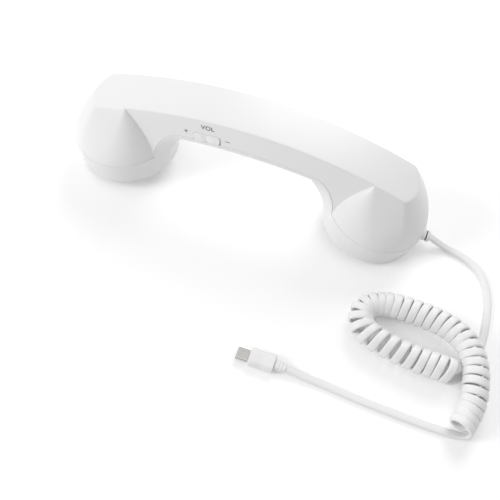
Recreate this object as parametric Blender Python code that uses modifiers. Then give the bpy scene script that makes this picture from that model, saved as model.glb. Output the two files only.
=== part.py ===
"""Corded telephone handset for a mobile phone.

Two moulded shells meet along one parting line. A square band runs along the back, and each end swells from that
band to a round cup. The earpiece, the microphone, the keys and their board sit inside, and a curly cord ends in a
small plug. The handset lies on the rims of its cups. X runs towards the cord, Y away from the volume key, Z up.
"""

import math

import bmesh
import bpy
from mathutils import Matrix, Vector

MM = 0.001
GAP = 0.3 * MM
MERGE = 0.00001
KEY_ROUND = 0.3 * MM
SMOOTH_ANGLE = math.radians(32)

# Back band
BACK_HEIGHT = 64.4 * MM
BACK_RADIUS = 245 * MM
BAND_HALF = 13.3 * MM
BAND_CROWN = 0.4 * MM
END_REACH = 94.8 * MM
END_SAGITTA = 5.4 * MM
APEX_X = 71.3 * MM
SIDE_DRAFT = math.radians(7.0)

# Cups
CUP_X = 77.1 * MM
CUP_RADIUS = 29.9 * MM
CUP_TILT = math.radians(9.5)
RING_TAPER = 1.1 * MM
RIM_ROUND = 0.8 * MM
RING_HEIGHT = 15.5 * MM
REST_FLAT = 0.2 * MM
POD_BULGE = 2.5 * MM
FOLD_ANGLE = math.radians(50)
FAN_ANGLE = math.radians(80)

# Parting line and the arch under the handle
HANDLE_DEPTH = 14.5 * MM
SEAM_RADIUS = 282 * MM
ARCH_START = 38 * MM
LIP_HEIGHT = 2.2 * MM
FLARE_HOLLOW = 2.5 * MM
FLARE_SHARE = 0.5

# Walls
WALL = 2.2 * MM
RIM_WALL = 2.2 * MM

# Perforated caps in the rims
CAP_SEAT = 2.2 * MM
CAP_RECESS = 0.6 * MM
CAP_EDGE = 2.8 * MM
CAP_WALL = 1.8 * MM
CAP_LAND = 5.6 * MM
CAP_DISH = 2.4 * MM
CAP_LIP = 2.4 * MM
CAP_ROUND = 0.5 * MM
COLLAR_WALL = 1.4 * MM
EAR_HOLE_RADIUS = 1.0 * MM
EAR_HOLE_MARGIN = 1.8 * MM
EAR_HOLE_RINGS = 2
MOUTH_HOLE_RADIUS = 0.8 * MM
MOUTH_HOLE_STEP = 3.4 * MM
MOUTH_HOLE_RINGS = 1

# Earpiece
SPEAKER_ROOM = 1.5 * MM
SPEAKER_COLLAR_TOP = 7.6 * MM
SPEAKER_FLANGE = 1.2 * MM
SPEAKER_DEPTH = 5.2 * MM
SPEAKER_WALL = 0.8 * MM
BASKET_WIDTH = 7 * MM
MAGNET_HEIGHT = 3.4 * MM
GASKET_WIDTH = 3 * MM
GASKET_HEIGHT = 1.5 * MM
BASKET_STEP = 2.4 * MM
CONE_DOME = 4 * MM
CONE_THICK = 0.4 * MM

# Microphone
CAPSULE_RADIUS = 4.85 * MM
CAPSULE_HEIGHT = 5 * MM
BOOT_WALL = 1.2 * MM
BOOT_BACK = 1.6 * MM
MIC_COLLAR_TOP = 9 * MM

# Shell screws and their posts
SCREW_RADIUS = 1.1 * MM
SCREW_HEAD_RADIUS = 2.2 * MM
SCREW_HEAD_HEIGHT = 1.5 * MM
POST_RADIUS = 3.1 * MM
POST_INSET = 10.3 * MM
LUG_HEIGHT = 3 * MM
LUG_TOP = 12 * MM
SHELL_SCREW_LENGTH = 10 * MM

# Board with the key switches
BOARD_X = -14 * MM
BOARD_LENGTH = 44 * MM
BOARD_WIDTH = 18 * MM
BOARD_THICK = 1.2 * MM
BOARD_RISE = 3.7 * MM
BOARD_SCREW_X = 19.5 * MM
BOARD_POST_RADIUS = 2.6 * MM
BOARD_SCREW_LENGTH = 6 * MM
CHIP_SIZE = 6 * MM
CHIP_HEIGHT = 1.2 * MM
CHIP_X = -12 * MM

# Volume rocker in the near side
ROCKER_X = -23 * MM
ROCKER_RISE = 1.65 * MM
ROCKER_LENGTH = 15.4 * MM
ROCKER_HEIGHT = 4.8 * MM
ROCKER_ROUND = 1.4 * MM
ROCKER_PROUD = 0.7 * MM
ROCKER_DIP = 0.55 * MM
ROCKER_DIP_RADIUS = 9 * MM
ROCKER_FLANGE = 1.2 * MM
ROCKER_FLANGE_THICK = 0.8 * MM
ROCKER_CLEAR = 0.35 * MM
ROCKER_PLAY = 0.8 * MM
ROCKER_SKIN = 1.2 * MM
ROCKER_PIVOT = 3.9 * MM
FULCRUM_LENGTH = 1.6 * MM
FULCRUM_THICK = 1.3 * MM
KEY_SWITCH_X = 5.4 * MM
KEY_SWITCH_LENGTH = 4 * MM
KEY_SWITCH_HEIGHT = 2.6 * MM
KEY_SWITCH_DEPTH = 3 * MM
KEY_PLUNGER_RADIUS = 0.7 * MM
KEY_PLUNGER_LENGTH = 0.7 * MM
KEY_SWITCH_RISE = 1.3 * MM

# Answer key in the underside
ANSWER_X = -5 * MM
ANSWER_LENGTH = 13 * MM
ANSWER_WIDTH = 6.5 * MM
ANSWER_PROUD = 0.6 * MM
ANSWER_FLANGE = 1.1 * MM
ANSWER_FLANGE_THICK = 0.7 * MM
ANSWER_TRAVEL = 0.5 * MM
ANSWER_SWITCH_SIZE = 4.2 * MM

# Steel weight in the handle
WEIGHT_X = 31 * MM
WEIGHT_LENGTH = 28 * MM
WEIGHT_WIDTH = 15 * MM
WEIGHT_HEIGHT = 5 * MM
WEIGHT_RISE = 3 * MM
WEIGHT_SCREW_LENGTH = 8 * MM

# Cord exit
EXIT_RISE = 8 * MM
GLAND_WIDTH = 7 * MM
GLAND_HEIGHT = 4.4 * MM
GLAND_PROUD = 6 * MM
GLAND_COLLAR = 3.4 * MM
GLAND_GROOVE = 0.6 * MM
GLAND_FLANGE = 1.2 * MM
GLAND_FLANGE_THICK = 1.2 * MM
CLAMP_INSET = 4.9 * MM
CLAMP_Z = 9.5 * MM
CLAMP_WIDTH = 4.6 * MM
CLAMP_POST_RADIUS = 2.3 * MM
CLAMP_LENGTH = 15 * MM
CLAMP_THICK = 1.2 * MM
CLAMP_SCREW_Y = 5 * MM
SHELF_THICK = 1.6 * MM
SHELF_LENGTH = 5 * MM
SHELF_TOP = 6 * MM
CLAMP_SCREW_LENGTH = 3.6 * MM

# Cord
CORD_ROUND = 3.4 * MM
CORD_FLOOR = 1.8 * MM
COIL_RADIUS = 7.1 * MM
LEAD_RADIUS = 0.8 * MM
SHEATH_RADIUS = 1.2 * MM

# Plug
PLUG_X = 43 * MM
PLUG_Y = -106.4 * MM
PLUG_LENGTH = 14 * MM
PLUG_WIDTH = 10.6 * MM
PLUG_HEIGHT = 5.4 * MM
PLUG_ROUND = 2.0 * MM
RELIEF_LENGTH = 6 * MM
RELIEF_WIDTH = 7 * MM
RELIEF_HEIGHT = 4.2 * MM
RELIEF_TAPER = 0.7
SHELL_WIDTH = 8.3 * MM
SHELL_HEIGHT = 2.5 * MM
SHELL_LENGTH = 6.6 * MM
SHELL_WALL = 0.35 * MM
INSERT_DEPTH = 3.4 * MM

# Facets
FAN_STEPS = 7
EDGE_STEPS = 4
END_STEPS = 4
POD_ROWS = 5
ARCH_STEPS = 7
HANDLE_STEPS = 6
CROSS_STEPS = 4
RING_ROWS = 4
ROUND_STEPS = 36
INNER_STEPS = 24
SMALL_STEPS = 8
HOLE_STEPS = 8
DISH_STEPS = 3
DIP_STEPS = 60

# Sizes that follow from those above
SEAM_HEIGHT = BACK_HEIGHT - HANDLE_DEPTH
RIM_RADIUS = CUP_RADIUS - RING_TAPER
CAP_RADIUS = RIM_RADIUS - RIM_WALL
LEDGE_RADIUS = CAP_RADIUS - CAP_SEAT
POST_Y = CUP_RADIUS - POST_INSET
SPEAKER_RADIUS = POST_Y - POST_RADIUS - SPEAKER_ROOM
MAGNET_RADIUS = SPEAKER_RADIUS - BASKET_WIDTH
EAR_HOLE_STEP = (SPEAKER_RADIUS - GASKET_WIDTH - EAR_HOLE_RADIUS - EAR_HOLE_MARGIN) / EAR_HOLE_RINGS
CLAMP_REACH = LEDGE_RADIUS - CLAMP_INSET
BOARD_Z = SEAM_HEIGHT + BOARD_RISE
ROCKER_Z = SEAM_HEIGHT + ROCKER_RISE
KEY_SWITCH_Z = SEAM_HEIGHT + KEY_SWITCH_RISE
WEIGHT_Z = SEAM_HEIGHT + WEIGHT_RISE
FAR = BACK_HEIGHT

COLOURS = {
    "shell_plastic": ((0.86, 0.86, 0.85), 0.42, 0.0),
    "key_plastic": ((0.84, 0.84, 0.83), 0.38, 0.0),
    "cap_plastic": ((0.82, 0.82, 0.81), 0.45, 0.0),
    "cord_jacket": ((0.85, 0.85, 0.84), 0.5, 0.0),
    "gland_rubber": ((0.55, 0.55, 0.55), 0.7, 0.0),
    "black_plastic": ((0.03, 0.03, 0.03), 0.45, 0.0),
    "foam": ((0.06, 0.06, 0.06), 0.95, 0.0),
    "paper_cone": ((0.12, 0.11, 0.1), 0.85, 0.0),
    "board_green": ((0.03, 0.2, 0.07), 0.5, 0.0),
    "steel": ((0.55, 0.55, 0.56), 0.35, 1.0),
    "plug_metal": ((0.72, 0.72, 0.73), 0.25, 1.0),
    "lead_red": ((0.6, 0.03, 0.03), 0.5, 0.0),
    "lead_black": ((0.02, 0.02, 0.02), 0.5, 0.0),
}

# The cord from the gland to the coil, the coil's centre line, and the cord from the coil to the plug, seen from above
LEAD_ROUTE = [
    (114.2, -0.1, 5.4), (117.8, -0.3, 3.9), (121.6, -0.6, 2.5), (126.5, -1.3, 1.8), (133.1, -3.3, 1.8),
    (138.8, -5.8, 1.8), (143.6, -9.4, 1.8), (147.3, -14.3, 1.8), (150.3, -21.5, 1.8), (152.5, -31.5, 1.8),
    (153.4, -44.7, 1.8), (153.0, -56.6, 1.8), (151.0, -67.1, 1.8), (148.9, -73.6, 1.8), (145.6, -78.2, 1.8),
    (141.0, -79.6, 1.8),
]
COIL_ROUTE = [
    (136.5, -79.7, 7.4), (130.0, -79.7, 7.4), (122.7, -79.4, 7.4), (113.6, -78.5, 7.4), (104.4, -77.2, 7.4),
    (95.6, -75.0, 7.4), (89.0, -71.4, 7.4), (85.9, -65.8, 7.4), (86.8, -60.0, 7.4), (90.6, -55.9, 7.4),
    (95.7, -53.7, 7.4), (100.6, -52.7, 7.5), (106.6, -52.2, 7.7), (114.0, -52.4, 8.2), (120.4, -53.2, 8.9),
    (126.8, -54.6, 9.7), (133.0, -56.6, 10.5), (138.3, -59.3, 11.2), (143.2, -63.1, 11.6), (147.0, -68.3, 11.8),
    (149.8, -74.2, 11.8), (151.5, -80.2, 11.6), (152.5, -86.2, 11.0), (153.2, -92.3, 9.8), (152.7, -98.8, 8.2),
    (151.3, -104.0, 7.4),
]
TAIL_ROUTE = [
    (150.2, -107.6, 1.8), (148.0, -110.2, 1.8), (143.6, -112.0, 1.8), (134.5, -112.7, 1.8), (122.8, -112.4, 1.8),
    (111.1, -111.5, 1.8), (98.9, -110.1, 1.8), (87.0, -108.7, 1.8), (76.0, -107.6, 1.9), (66.5, -106.8, 2.2),
]

# Leads inside, each first in its cup's frame and then in the handset's, over the parting line. The cord's own inner
# end starts under its clamp.
INNER_CORD_START = [(0, 0, 7.8), (-4.1, 0, 7.9), (-6.9, 1.2, 11), (-8.5, 3, 15), (-13.5, 7.5, 24)]
INNER_CORD_END = [(72.6, 9.5, -8.7), (52, 9.7, -2.4), (40, 9.9, 1.6), (25, 9.9, 4.1), (12, 8, 6.1), (5, 5.4, 6.3)]
MIC_START = [(-2, -2, 18), (-8, -7, 29)]
MIC_END = [(60, -9.4, -5.9), (48, -9.9, -1.4), (38, -9.9, 2.1), (22, -9.9, 4.1), (11, -7, 5.7), (6, -5.4, 5.7)]
SPEAKER_START = [(10, 0, 16), (12, -3, 24), (18, -7, 33)]
SPEAKER_END = [(-52, -8, -1.9), (-45, -6.4, 3.1), (-39, -5.6, 5.8), (-32, -5.4, 6.3)]


def clear_scene():
    """Remove every object that the file starts with."""
    for item in list(bpy.data.objects):
        bpy.data.objects.remove(item, do_unlink=True)


def make_collection(name):
    """Return a new collection in the scene."""
    group = bpy.data.collections.new(name)
    bpy.context.scene.collection.children.link(group)
    return group


clear_scene()
PARTS = make_collection("telephone_handset")
TOOLS = make_collection("cutters")


def make_material(name):
    """Return the named material, made on first use."""
    if name in bpy.data.materials:
        return bpy.data.materials[name]
    colour, roughness, metallic = COLOURS[name]
    material = bpy.data.materials.new(name)
    material.use_nodes = True
    shader = material.node_tree.nodes["Principled BSDF"]
    shader.inputs["Base Color"].default_value = (*colour, 1)
    shader.inputs["Roughness"].default_value = roughness
    shader.inputs["Metallic"].default_value = metallic
    return material


def add_object(name, mesh, finish):
    """Add a mesh as a part, or as a hidden tool if it has no finish."""
    item = bpy.data.objects.new(name, mesh)
    if finish is None:
        TOOLS.objects.link(item)
        item.hide_render = True
        item.display_type = "WIRE"
    else:
        PARTS.objects.link(item)
        mesh.materials.clear()
        mesh.materials.append(make_material(finish))
        mesh.shade_smooth()
        mesh.set_sharp_from_angle(angle=SMOOTH_ANGLE)
    return item


def place(item, matrix):
    """Set an object's place from a matrix."""
    item.matrix_world = matrix
    return item


def at(x, y, z):
    """Return a plain shift."""
    return Matrix.Translation((x, y, z))


def combine(item, tool, operation):
    """Add a Boolean of the given kind to an object."""
    step = item.modifiers.new(tool.name, "BOOLEAN")
    step.operation = operation
    step.object = tool
    step.solver = "EXACT"


def cut(item, tool):
    """Take a tool's volume away."""
    combine(item, tool, "DIFFERENCE")


def fuse(item, tool):
    """Add a tool's volume."""
    combine(item, tool, "UNION")


def round_edges(item, width, segments, limit=math.radians(40)):
    """Bevel an object's sharp edges."""
    step = item.modifiers.new("rounding", "BEVEL")
    step.width = width
    step.segments = segments
    step.limit_method = "ANGLE"
    step.angle_limit = limit
    return item


def box(name, size, finish=None, frames=(Matrix(),)):
    """Return boxes as one object, each about the middle of its own frame."""
    mesh = bpy.data.meshes.new(name)
    shape = bmesh.new()
    for frame in frames:
        bmesh.ops.create_cube(shape, size=1, matrix=frame @ Matrix.Diagonal((*size, 1)))
    shape.to_mesh(mesh)
    shape.free()
    return add_object(name, mesh, finish)


def rods(name, radius, bottom, top, frames, finish=None, steps=SMALL_STEPS):
    """Return equal cylinders as one object, each along its own frame's Z."""
    mesh = bpy.data.meshes.new(name)
    shape = bmesh.new()
    for frame in frames:
        bmesh.ops.create_cone(
            shape, cap_ends=True, segments=steps, radius1=radius, radius2=radius, depth=top - bottom,
            matrix=frame @ at(0, 0, (top + bottom) / 2),
        )
    shape.to_mesh(mesh)
    shape.free()
    return add_object(name, mesh, finish)


def turned(name, profile, finish=None, steps=INNER_STEPS, ring=False):
    """Turn a profile of radius and height pairs about Z, listed down the outer side."""
    mesh = bpy.data.meshes.new(name)
    points = [(radius, 0, height) for radius, height in profile]
    edges = [(i, i + 1) for i in range(len(points) - 1)]
    if ring:
        edges.append((len(points) - 1, 0))
    mesh.from_pydata(points, edges, [])
    item = add_object(name, mesh, finish)
    step = item.modifiers.new("turning", "SCREW")
    step.axis = "Z"
    step.steps = steps
    step.render_steps = steps
    step.use_merge_vertices = True
    step.merge_threshold = MERGE
    return item


def mesh_of(curve_object, name, finish):
    """Replace a curve object by a closed mesh object in its place."""
    bpy.context.view_layer.update()
    graph = bpy.context.evaluated_depsgraph_get()
    mesh = bpy.data.meshes.new_from_object(curve_object.evaluated_get(graph))
    shape = bmesh.new()
    shape.from_mesh(mesh)
    bmesh.ops.remove_doubles(shape, verts=shape.verts, dist=MERGE)
    bmesh.ops.recalc_face_normals(shape, faces=shape.faces)
    shape.to_mesh(mesh)
    shape.free()
    data = curve_object.data
    bpy.data.objects.remove(curve_object, do_unlink=True)
    bpy.data.curves.remove(data)
    mesh.name = name
    return add_object(name, mesh, finish)


def rounded_plate(name, length, width, radius, thickness, finish=None, corner_steps=4):
    """Return a plate in XY with round corners, about its own middle."""
    curve = bpy.data.curves.new(name, "CURVE")
    curve.dimensions = "2D"
    curve.fill_mode = "BOTH"
    curve.extrude = thickness / 2
    outline = curve.splines.new("POLY")
    corners = [(1, 1, 0), (-1, 1, 90), (-1, -1, 180), (1, -1, 270)]
    points = []
    for side_x, side_y, start in corners:
        for step in range(corner_steps + 1):
            angle = math.radians(start + 90 * step / corner_steps)
            x = side_x * (length / 2 - radius) + radius * math.cos(angle)
            y = side_y * (width / 2 - radius) + radius * math.sin(angle)
            points.append((x, y))
    outline.points.add(len(points) - 1)
    for point, (x, y) in zip(outline.points, points):
        point.co = (x, y, 0, 1)
    outline.use_cyclic_u = True
    holder = bpy.data.objects.new(name, curve)
    PARTS.objects.link(holder)
    return mesh_of(holder, name, finish)


def smooth_points(route, spacing):
    """Read evenly spaced points off a smooth curve through a route's own points."""
    ends = [route[0] * 2 - route[1], *route, route[-1] * 2 - route[-2]]
    fine = []
    reads = 24
    for i in range(1, len(ends) - 2):
        before, start, end, after = ends[i - 1:i + 3]
        for read in range(reads):
            t = read / reads
            bend = start * 2 + (end - before) * t
            bend += (before * 2 - start * 5 + end * 4 - after) * t ** 2
            bend += (start * 3 - before - end * 3 + after) * t ** 3
            fine.append(bend / 2)
    fine.append(route[-1])
    total = sum((b - a).length for a, b in zip(fine, fine[1:]))
    wanted = max(2, round(total / spacing))
    points = [fine[0]]
    run = 0
    for a, b in zip(fine, fine[1:]):
        run += (b - a).length
        if run >= len(points) * total / wanted and len(points) < wanted:
            points.append(b)
    points.append(fine[-1])
    return points


def tube(name, route, radius, spacing, finish, resolution=2):
    """Return a round tube along a smooth route."""
    curve = bpy.data.curves.new(name, "CURVE")
    curve.dimensions = "3D"
    curve.bevel_depth = radius
    curve.bevel_resolution = resolution
    curve.use_fill_caps = True
    line = curve.splines.new("POLY")
    points = smooth_points([Vector(point) for point in route], spacing)
    line.points.add(len(points) - 1)
    for point, place_of in zip(line.points, points):
        point.co = (*place_of, 1)
    item = bpy.data.objects.new(name, curve)
    PARTS.objects.link(item)
    curve.materials.append(make_material(finish))
    return item


def in_metres(route, lift=0):
    """Turn a route in millimetres to metres, raised by the lift."""
    return [(x * MM, y * MM, z * MM + lift) for x, y, z in route]


# Lines and surfaces of the housing, for the quarter with X and near side

TILT_X = Vector((math.cos(CUP_TILT), 0, -math.sin(CUP_TILT)))
TILT_Y = Vector((0, -1, 0))
TILT_Z = Vector((math.sin(CUP_TILT), 0, math.cos(CUP_TILT)))
RIM_Z = (RIM_RADIUS - RIM_ROUND) * math.sin(CUP_TILT) - REST_FLAT
CUP_CENTRE = Vector((CUP_X, 0, RIM_Z)) + Vector((0, 0, RING_HEIGHT * math.cos(CUP_TILT)))
END_RADIUS = (BAND_HALF ** 2 + END_SAGITTA ** 2) / (2 * END_SAGITTA)


def back_z(x, inset=0):
    """Return the height of the band's edge."""
    return BACK_HEIGHT - inset - BACK_RADIUS + math.sqrt(BACK_RADIUS ** 2 - x ** 2)


def band_point(x, y, inset=0):
    """Return a point on the crowned band."""
    crown = BAND_CROWN * (1 - (y / (BAND_HALF - inset)) ** 2)
    return Vector((x, y, back_z(x, inset) + crown))


def end_x(y, inset=0):
    """Return where the band ends, along its curved end."""
    return END_REACH - inset - END_RADIUS + math.sqrt(END_RADIUS ** 2 - y ** 2)


def side_half(x, z, inset=0):
    """Return half the handle's width at a height, which grows with the draft."""
    return BAND_HALF - inset + math.tan(SIDE_DRAFT) * (back_z(x, inset) - z)


def cup_radial(angle):
    """Return the direction out from the cup's axis."""
    return TILT_X * math.cos(angle) + TILT_Y * math.sin(angle)


def cup_point(radius, angle, height=0):
    """Return a point about the cup's axis, at a height over the parting plane."""
    return CUP_CENTRE + TILT_Z * height + cup_radial(angle) * radius


def parting_z(x):
    """Return the height of the cup's parting plane."""
    return CUP_CENTRE.z - (x - CUP_CENTRE.x) * math.tan(CUP_TILT)


def solve(function, low, high):
    """Return where a falling function crosses zero."""
    for _ in range(50):
        middle = (low + high) / 2
        if function(middle) > 0:
            low = middle
        else:
            high = middle
    return (low + high) / 2


def over_side(point, inset):
    """Return how far a point stands out of the handle's side."""
    return -point.y - side_half(point.x, point.z, inset)


def meeting_angle(inset=0):
    """Return the angle at which the handle's side meets the cup's circle."""
    return solve(
        lambda angle: over_side(cup_point(CUP_RADIUS - inset, angle), inset), math.pi / 2, math.pi * 0.99
    )


ARCH_END = cup_point(CUP_RADIUS, meeting_angle()).x
ARCH_DROP = SEAM_HEIGHT - ARCH_END ** 2 / (2 * SEAM_RADIUS) - parting_z(ARCH_END)


def seam_z(x):
    """Return the height of the parting line along the handle, down the arch and across the cup."""
    if x > ARCH_END:
        return parting_z(x)
    level = SEAM_HEIGHT - x ** 2 / (2 * SEAM_RADIUS)
    if x <= ARCH_START:
        return level
    share = (x - ARCH_START) / (ARCH_END - ARCH_START)
    return level - ARCH_DROP * (1 - math.sqrt(max(0, 1 - share ** 2)))


def seam_point(x, inset=0):
    """Return a point of the parting line on the near side."""
    z = seam_z(x)
    return Vector((x, -side_half(x, z, inset), z))


def seam_normal(x):
    """Return the direction square to the parting line, away from the back shell."""
    step = 0.02 * MM
    before = max(0, x - step)
    after = min(ARCH_END, x + step)
    run = Vector((after - before, 0, seam_z(after) - seam_z(before))).normalized()
    return Vector((run.z, 0, -run.x))


def pod_point(top, angle, share, inset):
    """Return a point on the swelling side of a cup, from the band's outline down to the parting circle."""
    bottom = cup_point(CUP_RADIUS - inset, angle)
    swell = POD_BULGE * 4 * share * (1 - share)
    return top.lerp(bottom, share) + cup_radial(angle) * swell


def pod_columns(inset):
    """Return the pod's columns of points, from the crease beside the handle round to its outer end."""
    half = BAND_HALF - inset
    apex = band_point(APEX_X + inset, -half, inset)
    shares = [row / POD_ROWS for row in range(POD_ROWS + 1)]
    creases = []
    for share in shares:
        read = max(share, shares[1] / 4)
        creases.append(
            solve(lambda angle, s=read: over_side(pod_point(apex, angle, s, inset), inset),
                  math.pi / 2, math.pi * 0.99)
        )
    columns = []
    for step in range(FAN_STEPS + 1):
        fan = [crease + (FAN_ANGLE - crease) * step / FAN_STEPS for crease in creases]
        columns.append([pod_point(apex, angle, share, inset) for angle, share in zip(fan, shares)])
    corner_x = end_x(-half, inset)
    for step in range(1, EDGE_STEPS + 1):
        part = step / EDGE_STEPS
        angle = FAN_ANGLE + (FOLD_ANGLE - FAN_ANGLE) * part
        top = band_point(apex.x + (corner_x - apex.x) * part, -half, inset)
        columns.append([pod_point(top, angle, share, inset) for share in shares])
    for step in range(1, END_STEPS + 1):
        part = step / END_STEPS
        y = -half * (1 - part)
        top = band_point(end_x(y, inset), y, inset)
        columns.append([pod_point(top, FOLD_ANGLE * (1 - part), share, inset) for share in shares])
    return columns


def handle_stations(inset=0):
    """Return the X places along the handle, closer together round the arch."""
    end = cup_point(CUP_RADIUS - inset, meeting_angle(inset)).x
    level = [ARCH_START * step / HANDLE_STEPS for step in range(HANDLE_STEPS)]
    arch = [
        ARCH_START + (end - ARCH_START) * math.sin(math.pi / 2 * step / ARCH_STEPS)
        for step in range(ARCH_STEPS + 1)
    ]
    return level + arch


def add_grid(shape, rows):
    """Add quads between rows of points."""
    made = [[shape.verts.new(point) for point in row] for row in rows]
    for upper, lower in zip(made, made[1:]):
        for i in range(len(upper) - 1):
            shape.faces.new((upper[i], upper[i + 1], lower[i + 1], lower[i]))


def to_middle(points):
    """Return the points moved across to the middle plane."""
    return [Vector((point.x, 0, point.z)) for point in points]


def finish_quarter(name, shape, inner_point, axes, finish):
    """Close a quarter's joints, face it outwards and mirror it over its open planes."""
    bmesh.ops.remove_doubles(shape, verts=shape.verts, dist=MERGE)
    bmesh.ops.dissolve_degenerate(shape, edges=shape.edges, dist=MERGE)
    bmesh.ops.recalc_face_normals(shape, faces=shape.faces)
    volume = sum(
        (face.calc_center_median() - inner_point).dot(face.normal) * face.calc_area() for face in shape.faces
    )
    if volume < 0:
        bmesh.ops.reverse_faces(shape, faces=shape.faces)
    mesh = bpy.data.meshes.new(name)
    shape.to_mesh(mesh)
    shape.free()
    item = add_object(name, mesh, finish)
    for axis in axes:
        step = item.modifiers.new("mirror " + axis, "MIRROR")
        step.use_axis = (axis == "x", axis == "y", False)
        step.use_mirror_merge = True
        step.merge_threshold = MERGE
    return item


def upper_body(name, inset, drop, finish=None):
    """Return the back half of the housing as one solid, drawn in by the inset and carried down by the drop."""
    half = BAND_HALF - inset
    columns = pod_columns(inset)
    crease = columns[0]
    seam = [seam_point(x, inset) for x in handle_stations(inset)]
    across = [-half * (1 - step / END_STEPS) for step in range(END_STEPS + 1)]
    shape = bmesh.new()
    lower_edge = seam[:-1] + crease[::-1]
    upper_edge = [band_point(point.x, -half, inset) for point in lower_edge]
    add_grid(shape, [upper_edge, lower_edge])
    add_grid(shape, columns)
    band = [[band_point(point.x, y, inset) for y in across] for point in upper_edge]
    apex_x = crease[0].x
    for step in range(1, EDGE_STEPS + 1):
        part = step / EDGE_STEPS
        band.append([band_point(apex_x + (end_x(y, inset) - apex_x) * part, y, inset) for y in across])
    add_grid(shape, band)
    loop = seam[:-1] + [column[-1] for column in columns]
    lowered = [point - Vector((0, 0, drop)) for point in loop]
    if drop:
        add_grid(shape, [loop, lowered])
    add_grid(shape, [lowered, to_middle(lowered)])
    return finish_quarter(name, shape, Vector((0, 0, SEAM_HEIGHT)), "xy", finish)


def ring_shares():
    """Return the shares of the ring's height at which it has a row of points."""
    return [row / (RING_ROWS - 1) for row in range(RING_ROWS)]


def lower_columns(tops, angles, hollows, rim, rim_edge, depth):
    """Return columns of points from the parting line down to the rim."""
    columns = []
    for top, angle, hollow in zip(tops, angles, hollows):
        foot = cup_point(rim, angle, -(RING_HEIGHT - RIM_ROUND))
        column = [
            top.lerp(foot, share) - cup_radial(angle) * hollow * 4 * share * (1 - share)
            for share in ring_shares()
        ]
        column.append(cup_point(rim_edge, angle, -depth))
        columns.append(column)
    return columns


def rim_angles(start):
    """Return the angles round the flared inner part of the rim."""
    split = start + (math.pi - start) * FLARE_SHARE
    arch = [start + (split - start) * step / ARCH_STEPS for step in range(1, ARCH_STEPS + 1)]
    cross = [split + (math.pi - split) * step / CROSS_STEPS for step in range(1, CROSS_STEPS + 1)]
    return arch + cross


def parting_shift(share):
    """Return the step from the back shell's parting face to the front shell's."""
    return Vector((-GAP * share, 0, -GAP))


def ring_angles(inset=0):
    """Return the angles of the pod's columns at the parting circle, from the outer end to the handle."""
    end = [FOLD_ANGLE * step / END_STEPS for step in range(END_STEPS)]
    edge = [FOLD_ANGLE + (FAN_ANGLE - FOLD_ANGLE) * step / EDGE_STEPS for step in range(EDGE_STEPS)]
    meet = meeting_angle(inset)
    fan = [FAN_ANGLE + (meet - FAN_ANGLE) * step / FAN_STEPS for step in range(FAN_STEPS + 1)]
    return end + edge + fan


def flare_hollows():
    """Return how deep each flared column is hollowed, nothing beside the ring."""
    count = ARCH_STEPS + CROSS_STEPS
    return [FLARE_HOLLOW * min(1, step / ARCH_STEPS) for step in range(1, count + 1)]


def lower_body(name, finish=None):
    """Return the front half of the housing as one solid, resting on the floor."""
    angles = ring_angles()
    meet = angles[-1]
    ring_tops = [
        cup_point(CUP_RADIUS, angle) + parting_shift(max(0, (angle - math.pi / 2) / (meet - math.pi / 2)))
        for angle in angles
    ]
    stations = handle_stations()[::-1]
    seam = []
    lip = []
    for x in stations:
        share = max(0, (x - ARCH_START) / (ARCH_END - ARCH_START))
        point = seam_point(x) + parting_shift(min(1, share * 2))
        edge = point + seam_normal(x) * LIP_HEIGHT * (1 - share ** 4)
        edge.y = -side_half(edge.x, edge.z)
        seam.append(point)
        lip.append(edge)
    seam[0] = ring_tops[-1]
    lip[0] = ring_tops[-1]
    start = lip[ARCH_STEPS]
    cross = [
        Vector((start.x, start.y * (1 - step / CROSS_STEPS), start.z)) for step in range(1, CROSS_STEPS + 1)
    ]
    tops = ring_tops + lip[1:ARCH_STEPS + 1] + cross
    turns = angles + rim_angles(meet)
    hollows = [0] * len(angles) + flare_hollows()
    columns = lower_columns(tops, turns, hollows, RIM_RADIUS, RIM_RADIUS - RIM_ROUND, RING_HEIGHT)
    shape = bmesh.new()
    add_grid(shape, columns)
    add_grid(shape, [seam, lip])
    underside = [
        [Vector((edge.x, edge.y * (1 - step / CROSS_STEPS), edge.z)) for step in range(CROSS_STEPS + 1)]
        for edge in lip[ARCH_STEPS:]
    ]
    add_grid(shape, underside)
    loop = ring_tops + seam[1:]
    add_grid(shape, [loop, to_middle(loop)])
    feet = [column[-1] for column in columns]
    add_grid(shape, [feet, to_middle(feet)])
    return finish_quarter(name, shape, Vector((0, 0, SEAM_HEIGHT)), "xy", finish)


def cup_hollow(name, lift, depth):
    """Return the hollow of both cups in the front shell, open above and below."""
    angles = ring_angles(WALL)
    meet = angles[-1]
    ring_tops = [cup_point(CUP_RADIUS - WALL, angle) for angle in angles]
    start_x = ARCH_START + WALL
    end = ring_tops[-1].x
    arch = []
    for step in range(1, ARCH_STEPS + 1):
        x = start_x + (end - start_x) * math.cos(math.pi / 2 * step / ARCH_STEPS)
        arch.append(seam_point(x, WALL))
    start = arch[-1]
    cross = [
        Vector((start.x, start.y * (1 - step / CROSS_STEPS), start.z)) for step in range(1, CROSS_STEPS + 1)
    ]
    tops = ring_tops + arch + cross
    turns = angles + rim_angles(meet)
    hollows = [0] * len(angles) + flare_hollows()
    columns = lower_columns(tops, turns, hollows, LEDGE_RADIUS, LEDGE_RADIUS, depth)
    shape = bmesh.new()
    add_grid(shape, columns)
    raised = [top + Vector((0, 0, lift)) for top in tops]
    add_grid(shape, [raised, tops])
    rails = raised[:len(ring_tops) + len(arch)]
    add_grid(shape, [rails[:-1], to_middle(rails[:-1])])
    last = [rails[-2], *raised[len(rails) - 1:], to_middle([rails[-2]])[0]]
    shape.faces.new([shape.verts.new(point) for point in last])
    feet = [column[-1] for column in columns]
    add_grid(shape, [feet, to_middle(feet)])
    return finish_quarter(name, shape, Vector((CUP_X, 0, RING_HEIGHT)), "yx", None)


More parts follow.
